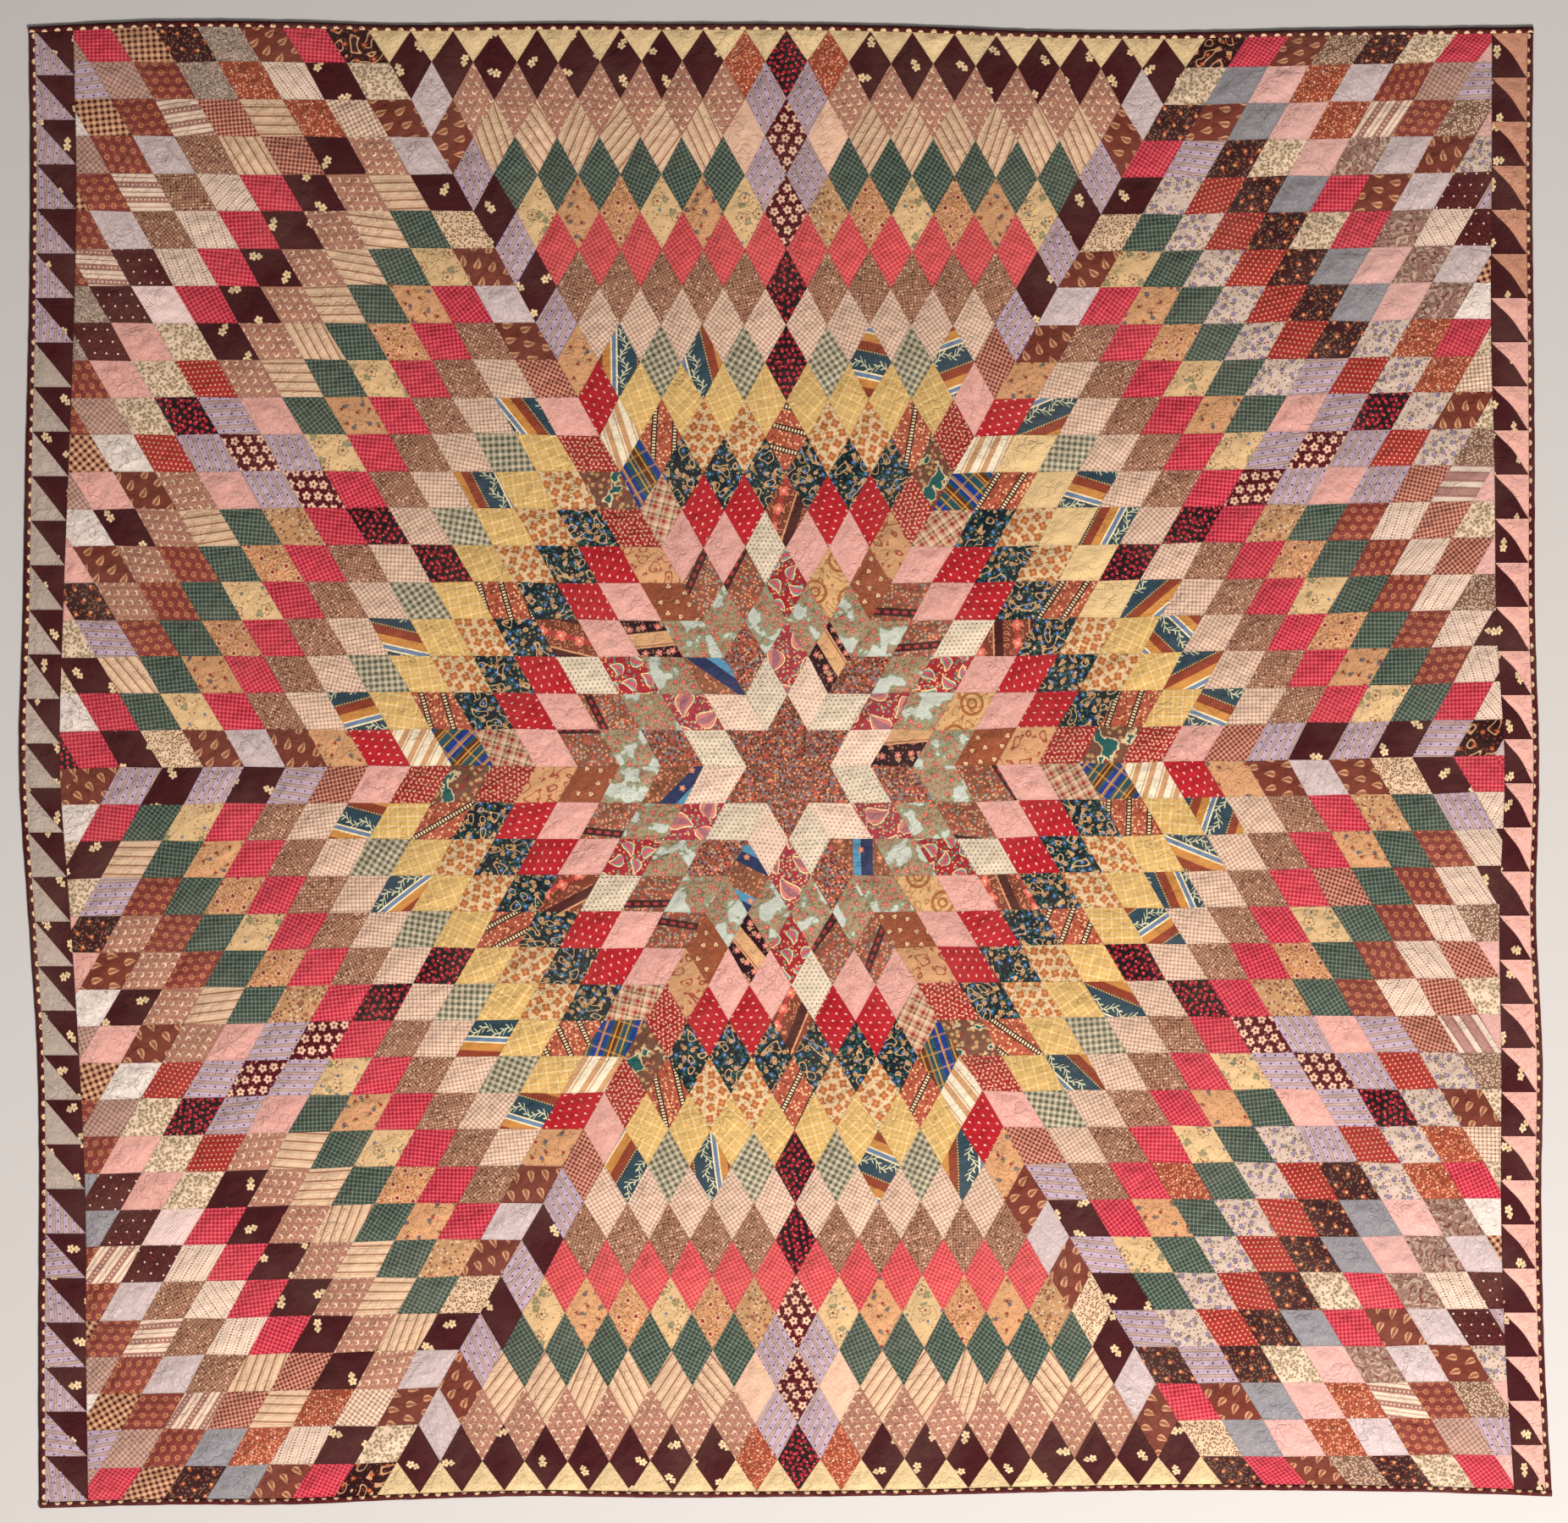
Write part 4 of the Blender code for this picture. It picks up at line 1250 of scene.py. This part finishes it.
def build_sector(sector, relief):
    """One sixth of the star as a closed sheet, with its patches puffed and printed."""
    steps = relief.steps_per_patch
    first, second = DIRECTIONS[sector.first], DIRECTIONS[sector.second]
    side = sector.length
    up_or_down = 1.0 if second[1] > 0 else -1.0

    def reach(t):
        if not side:
            return ROWS_TO_EDGE - t
        return float(along(SEAM_COLUMNS[side], up_or_down * t)) - 0.5 * t

    places, lines, faces = lay_grid(reach, ROWS_TO_EDGE * steps, steps)
    places, faces, top_points, top_faces = close_sheet(places, lines, faces, steps)
    u, t, end = places.T
    column = u * first[0] + t * second[0]
    row = u * first[1] + t * second[1]
    x, y = on_cloth(column, row)
    slip_x, slip_y = slipped(column, row, u, t, first, second)
    at_end = side * (end - u < 1e-9) != 0
    x = x + slip_x * np.where(side != 0, np.clip(end - u, 0.0, 1.0), 1.0)
    y = y + slip_y
    edge_line = TOP_LINE if up_or_down > 0 else BOTTOM_LINE
    last_row = np.clip(np.abs(row) - (ROWS_TO_EDGE - 1), 0.0, 1.0)
    y = y + last_row * (along(edge_line, x) - on_cloth(column, ROWS_TO_EDGE * up_or_down)[1])
    if side:
        x = np.where(at_end, along(SEAM_LINES[side], y), x)

    share_u, share_t = u - np.floor(u + 1e-9), t - np.floor(t + 1e-9)
    from_u, from_t, from_fold = from_sides(share_u, share_t)
    to_edge = ROWS_TO_EDGE - np.abs(row)
    to_side = end - u if side else np.full(len(u), 1.0)
    puff = rise(from_u / FULL_PUFF_FROM_SEAM) * rise(from_t / FULL_PUFF_FROM_SEAM)
    puff *= 1.0 - FOLD_DIP * (1.0 - rise(from_fold / FULL_PUFF_FROM_FOLD))
    puff *= rise(to_edge / FULL_PUFF_FROM_BINDING) * rise(to_side / FULL_PUFF_FROM_SIDE)
    puff *= LEAST_PUFF + PUFF_SPREAD * chance(np.floor(u), np.floor(t), sector.first * 7 + sector.second)
    z = sheet_height(x, y, puff, relief)
    z[top_points:] = 0.0
    mirrored = first[0] * second[1] - first[1] * second[0] < 0.0
    piece = make_cloth(sector.name, (x, y, z), faces, top_faces, mirrored)

    # How far each point is from a seam, in millimetres: the materials paint shade along the seams from
    # it.
    seam = np.minimum(np.minimum(from_u, from_t), np.minimum(to_edge, to_side))
    add_values(piece.data, "seam", "POINT", np.maximum(seam, 0.0) * PATCH_ROW / MM)
    corner_points, owner, totals = corners_of(piece.data)
    patch_u = np.floor(np.bincount(owner, u[corner_points]) / totals)
    patch_t = np.floor(np.bincount(owner, t[corner_points]) / totals)
    away_u = (u[corner_points] - patch_u[owner] - 0.5) * PATCH_SIDE / MM
    away_t = (t[corner_points] - patch_t[owner] - 0.5) * PATCH_SIDE / MM
    cut_prints(piece, away_u + 0.5 * away_t, math.sqrt(0.75) * away_t, patch_u, patch_t,
               lambda h, d: print_of(sector, h, d), top_faces)
    return piece, plan_area(piece.data, top_faces)


# Which units have which light cotton, counted from the bottom: the left strip's teeth are
# lavender at both ends and grey between, the right strip's are pink, with peach at the top.
LEFT_LAVENDER_UNITS = (*range(0, 7), *range(26, 33))
RIGHT_PEACH_UNITS = range(27, 33)


def tooth_print(side, unit, dark):
    """The cotton of one tooth of a sawtooth strip."""
    if dark:
        return "sprig"
    if side < 0:
        return "lavender_stripe" if unit in LEFT_LAVENDER_UNITS else "tooth_grey"
    return "tooth_peach" if unit in RIGHT_PEACH_UNITS else "tooth_pink"


def build_sawtooth(name, side, units, relief):
    """Part of a border strip: pairs of triangles between a side seam and the binding."""
    steps = relief.steps_per_patch
    first_unit, count = units.start, len(units)
    places, lines, _ = lay_grid(lambda up: 1.0, count * steps, steps)
    faces = []
    for low, high in zip(lines, lines[1:]):
        faces += [(low[k], low[k + 1], high[k + 1], high[k]) for k in range(steps)]
    split = []
    for index, (a, b, c, d) in enumerate(faces):
        line, k = divmod(index, steps)
        split += [(a, b, d), (b, c, d)] if line % steps + k == steps - 1 else [(a, b, c, d)]
    places, faces, top_points, top_faces = close_sheet(places, lines, split, steps)
    across, up, _ = places.T
    inner, outer = SEAM_LINES[side], SIDE_LINES[side]
    bottom, top = inner[0][0], inner[-1][0]
    share = (up + first_unit) / SAWTOOTH_UNITS
    y = bottom + (top - bottom) * share
    left, right = ((along(outer, y), along(inner, y) - PIECE_GAP) if side < 0
                   else (along(inner, y) + PIECE_GAP, along(outer, y)))
    in_unit = up - np.floor(up)
    bulge = relief.tooth_bulge * np.sin(np.pi * across) * np.sin(np.pi * in_unit) * (side > 0)
    x = left + (right - left) * across + bulge
    y = y + bulge
    y = np.where(share < 1e-6, along(BOTTOM_LINE, x), np.where(share > 1 - 1e-6,
                                                              along(TOP_LINE, x), y))
    from_x, from_y, from_cut = from_sides(across, in_unit)
    puff = (rise(from_x / FULL_PUFF_IN_TOOTH) * rise(from_y / FULL_PUFF_IN_TOOTH)
            * rise(from_cut / FULL_PUFF_IN_TOOTH)
            * rise(np.minimum(across, 1.0 - across) / FULL_PUFF_FROM_STRIP_EDGE) * TOOTH_PUFF)
    z = sheet_height(x, y, puff, relief)
    z[top_points:] = 0.0
    piece = make_cloth(name, (x, y, z), faces, top_faces, False)
    # How far each point is from a seam, in millimetres: the materials paint shade along the seams from
    # it.
    seam = np.minimum(np.minimum(from_x, from_y), np.minimum(from_cut, across))
    seam = np.minimum(seam, 1.0 - across)
    add_values(piece.data, "seam", "POINT", np.maximum(seam, 0.0) * PATCH_ROW / MM)

    corner_points, owner, totals = corners_of(piece.data)
    middle_x = np.bincount(owner, across[corner_points]) / totals
    middle_y = np.bincount(owner, up[corner_points]) / totals
    unit = np.floor(middle_y)
    upper = (middle_x + middle_y - unit > 1.0).astype(float)
    dark_is_upper = side < 0
    ways = (90.0, 0.0 if first_unit == 0 else 90.0)
    cut_prints(piece, across[corner_points] * TOOTH_SIDE, up[corner_points] * TOOTH_SIDE, unit,
               upper, lambda at, high: tooth_print(side, at + first_unit,
                                                   bool(high) == dark_is_upper), top_faces, ways)
    return piece, plan_area(piece.data, top_faces)


def build_binding(name, line, across_axis, outward, ends):
    """A length of binding along a (place, inner side) line, rounded over the quilt's edge."""
    start, stop = ends
    count = max(int((stop - start) / BINDING_STEP), 2)
    stations = np.linspace(start, stop, count + 1)
    section = np.array(BINDING_SECTION)
    rings = len(section)
    place = np.repeat(stations, rings)
    wide, high = np.tile(section.T, count + 1)
    girth = 1.0 + 0.05 * ripple(place, place * 0.0, BINDING_WIDTH_RIPPLE, 31) * (wide > 0.05)
    inner = along(line, place)
    out = inner + outward * (PIECE_GAP + wide * BINDING_WIDTH * np.minimum(girth, 1.03))
    uneven = 1.0 + 0.10 * ripple(place, wide * 0.02, BINDING_HEIGHT_RIPPLE, 32)
    z = high * BINDING_HEIGHT * uneven
    x, y = (place, out) if across_axis else (out, place)
    if not across_axis:
        for at_corner, edge_line in ((line[0][0], BOTTOM_LINE), (line[-1][0], TOP_LINE)):
            y = np.where(np.isclose(place, at_corner), along(edge_line, x), y)
    faces = []
    for station in range(count):
        base = station * rings
        for step in range(rings):
            ahead = (step + 1) % rings
            faces.append((base + step, base + ahead, base + rings + ahead, base + rings + step))
    caps = [tuple(range(rings))[::-1], tuple(count * rings + step for step in range(rings))]
    mirrored = (across_axis == 1) == (outward > 0)
    piece = make_cloth(name, (x, y, z), faces + caps, len(faces), mirrored, BINDING_ANGLE)
    mesh = piece.data
    mesh.materials.append(fabric("binding"))
    girths = np.concatenate([[0.0], np.cumsum(np.linalg.norm(np.diff(
        section * [BINDING_WIDTH, BINDING_HEIGHT], axis=0), axis=1))])
    corner_points, _, _ = corners_of(mesh)
    add_map(mesh, place[corner_points] / MM, girths[corner_points % rings] / MM + DOTS_PLACE)
    add_values(mesh, "tone", "FACE", np.ones(len(mesh.polygons)))
    # Painted shade: the binding's inner side, against the quilt, counts as a seam and is darkened; the
    # rest is not.
    add_values(mesh, "seam", "POINT", np.where(wide < 0.05, 0.0, 9.0))
    node = name.rsplit("_", 1)[0]
    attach(piece, "root")
    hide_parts(node)
    return piece


class QuiltRelief(bpy.types.PropertyGroup):
    """How the sewn cloth stands up from the surface it lies on."""

    puff_height: bpy.props.FloatProperty(
        name="Puff height", description="How far a patch stands above its seams",
        default=2.1 * MM, min=0.0, unit="LENGTH", subtype="DISTANCE")
    crinkle_depth: bpy.props.FloatProperty(
        name="Crinkle depth", description="Depth of the small creases of age",
        default=1.7 * MM, min=0.0, unit="LENGTH", subtype="DISTANCE")
    tooth_bulge: bpy.props.FloatProperty(
        name="Tooth bulge", description="How far the right strip's teeth are cut round",
        default=2.6 * MM, min=0.0, unit="LENGTH", subtype="DISTANCE")
    steps_per_patch: bpy.props.IntProperty(
        name="Steps per patch", description="Cells along the side of a patch",
        default=16, min=4, max=18)


class QuiltColours(bpy.types.PropertyGroup):
    """How the prints have aged, how dark the painted shade in their seams and creases is, and the colour
    of the floor.
    """

    fade: bpy.props.FloatProperty(
        name="Fade", description="How far the most faded places have lost their colour",
        default=0.05, min=0.0, max=1.0, subtype="FACTOR")
    mottle: bpy.props.FloatProperty(
        name="Mottle", description="How much worn threads vary the colour",
        default=0.22, min=0.0, max=1.0, subtype="FACTOR")
    # Painted shade: how far the seams are darkened where the cloth dips.
    seam_shade: bpy.props.FloatProperty(
        name="Seam shade", description="How dark the seams are where the cloth dips",
        default=0.15, min=0.0, max=1.0, subtype="FACTOR")
    # Painted shade: how far the thin creases are darkened.
    crease_shade: bpy.props.FloatProperty(
        name="Crease shade", description="How dark the thin creases of the cloth are",
        default=0.16, min=0.0, max=1.0, subtype="FACTOR")
    floor: bpy.props.FloatVectorProperty(
        name="Floor", description="Colour of the plain floor",
        default=(0.62, 0.62, 0.61), size=3, min=0.0, max=1.0, subtype="COLOR")


class QuiltStudio(bpy.types.PropertyGroup):
    """The camera's height and the strength of the light."""

    camera_height: bpy.props.FloatProperty(
        name="Camera height", description="Height of the camera above the floor",
        default=12.0, min=1.0, unit="LENGTH", subtype="DISTANCE")
    view_width: bpy.props.FloatProperty(
        name="View width", description="Width of floor that the picture shows",
        default=2.2224, min=0.1, unit="LENGTH", subtype="DISTANCE")
    light: bpy.props.FloatProperty(
        name="Light", description="Strength of the studio light, as a share of the usual",
        default=1.0, min=0.0)


class QUILT_OT_star(bpy.types.Operator):
    """Build the six sheets of the patched star"""

    bl_idname = "quilt.build_star"
    bl_label = "Build star"

    def execute(self, context):
        for sector in SECTORS:
            piece, area = build_sector(sector, context.scene.quilt_relief)
            declare(piece, "star_field",
                    [item for item in bpy.data.objects
                     if sector.binding and item.name.startswith(sector.binding)
                     and item.name != sector.binding])
        return {"FINISHED"}


class QUILT_OT_sawtooth(bpy.types.Operator):
    """Build the sawtooth strips at both sides, in two lengths each"""

    bl_idname = "quilt.build_sawtooth"
    bl_label = "Build sawtooth strips"

    def execute(self, context):
        half = SAWTOOTH_UNITS // 2
        for word, side in (("left", -1), ("right", 1)):
            node = f"sawtooth_{word}"
            for part, units in (("lower", range(0, half)), ("upper", range(half, SAWTOOTH_UNITS))):
                piece, area = build_sawtooth(f"{node}_{part}", side, units,
                                             context.scene.quilt_relief)
                declare(piece, node,
                        [bpy.data.objects[f"binding_{word}_{part}"]])
        return {"FINISHED"}


class QUILT_OT_binding(bpy.types.Operator):
    """Build the binding round all four edges, in two lengths each"""

    bl_idname = "quilt.build_binding"
    bl_label = "Build binding"

    def execute(self, context):
        for word, line, outward in (("top", TOP_LINE, 1), ("bottom", BOTTOM_LINE, -1)):
            start, stop = line[0][0], line[-1][0]
            for part, ends in (("left", (start, 0.0)), ("right", (0.0, stop))):
                build_binding(f"binding_{word}_{part}", line, 1, outward, ends)
        for word, side in (("left", -1), ("right", 1)):
            line = SIDE_LINES[side]
            start, stop = line[0][0], line[-1][0]
            for part, ends in (("lower", (start, 0.0)), ("upper", (0.0, stop))):
                build_binding(f"binding_{word}_{part}", line, 0, side, ends)
        return {"FINISHED"}


FLOOR_SIZE = 14.0
FLOOR_DROP = 0.5 * MM
FLOOR_ROUGHNESS = 0.85
SENSOR = 36.0
CAMERA_REACH = 60.0
# How far the picture's middle lies from the star's middle.
VIEW_MIDDLE = (-5.4 * MM, 7.8 * MM)
SURROUNDINGS = (1.0, 0.92, 0.88, 1.0)
SURROUNDINGS_STRENGTH = 0.1
LIGHTS = [
    Light("key", (2.16, -5.12, 4.8), 1.76, 770.0, (1.0, 0.915, 0.865)),
    Light("overhead", (0.2, -0.3, 6.0), 4.5, 34.0, (1.0, 0.92, 0.87)),
]


class QUILT_OT_studio(bpy.types.Operator):
    """Lay the floor and set up the lights and the camera above the quilt"""

    bl_idname = "quilt.build_studio"
    bl_label = "Build studio"

    def execute(self, context):
        scene = context.scene
        studio, colours = scene.quilt_studio, scene.quilt_colours
        bpy.ops.mesh.primitive_plane_add(size=FLOOR_SIZE, location=(0.0, 0.0, -FLOOR_DROP))
        floor = context.object
        floor.name = "floor"
        material = bpy.data.materials.new("floor")
        material.use_nodes = True
        shader = material.node_tree.nodes["Principled BSDF"]
        shader.inputs["Base Color"].default_value = (*colours.floor, 1.0)
        shader.inputs["Roughness"].default_value = FLOOR_ROUGHNESS
        floor.data.materials.append(material)
        for name, place, size, power, color in LIGHTS:
            lamp = bpy.data.lights.new(name, "AREA")
            lamp.shape = "DISK"
            lamp.size = size
            lamp.energy = power * studio.light
            lamp.color = color
            light = bpy.data.objects.new(name, lamp)
            light.location = place
            light.rotation_euler = (-Vector(place)).to_track_quat("-Z", "Y").to_euler()
            scene.collection.objects.link(light)
        world = bpy.data.worlds.new("studio")
        world.use_nodes = True
        background = world.node_tree.nodes["Background"]
        background.inputs["Color"].default_value = SURROUNDINGS
        background.inputs["Strength"].default_value = SURROUNDINGS_STRENGTH * studio.light
        scene.world = world
        camera_data = bpy.data.cameras.new("camera")
        camera_data.sensor_width = SENSOR
        camera_data.sensor_fit = "HORIZONTAL"
        camera_data.lens = SENSOR * studio.camera_height / studio.view_width
        camera_data.clip_end = CAMERA_REACH
        camera = bpy.data.objects.new("camera", camera_data)
        camera.location = (STAR_MIDDLE[0] + VIEW_MIDDLE[0], STAR_MIDDLE[1] + VIEW_MIDDLE[1],
                           studio.camera_height)
        scene.collection.objects.link(camera)
        scene.camera = camera
        scene.view_settings.view_transform = "Standard"
        return {"FINISHED"}


class QUILT_PT_panel(bpy.types.Panel):
    """The quilt's pieces and their settings"""

    bl_idname = "QUILT_PT_panel"
    bl_label = "Star Quilt"
    bl_space_type = "VIEW_3D"
    bl_region_type = "UI"
    bl_category = "Star Quilt"

    def draw(self, context):
        layout = self.layout
        for group in (context.scene.quilt_relief, context.scene.quilt_colours,
                      context.scene.quilt_studio):
            box = layout.box()
            for name in group.bl_rna.properties.keys():
                if name not in ("name", "rna_type"):
                    box.prop(group, name)
        for operator in OPERATORS:
            layout.operator(operator.bl_idname)


OPERATORS = (QUILT_OT_binding, QUILT_OT_star, QUILT_OT_sawtooth, QUILT_OT_studio)
CLASSES = (QuiltRelief, QuiltColours, QuiltStudio, *OPERATORS, QUILT_PT_panel)


def register():
    """Register the classes and hang the settings on the scene."""
    for item in CLASSES:
        bpy.utils.register_class(item)
    bpy.types.Scene.quilt_relief = bpy.props.PointerProperty(type=QuiltRelief)
    bpy.types.Scene.quilt_colours = bpy.props.PointerProperty(type=QuiltColours)
    bpy.types.Scene.quilt_studio = bpy.props.PointerProperty(type=QuiltStudio)


def unregister():
    """Take the settings off the scene and unregister the classes."""
    del bpy.types.Scene.quilt_relief
    del bpy.types.Scene.quilt_colours
    del bpy.types.Scene.quilt_studio
    for item in reversed(CLASSES):
        bpy.utils.unregister_class(item)


def main():
    """Build the whole quilt and its studio."""
    register()
    bpy.ops.quilt.build_binding()
    bpy.ops.quilt.build_star()
    bpy.ops.quilt.build_sawtooth()
    bpy.ops.quilt.build_studio()
    bpy.context.view_layer.update()


if __name__ == "__main__":
    main()
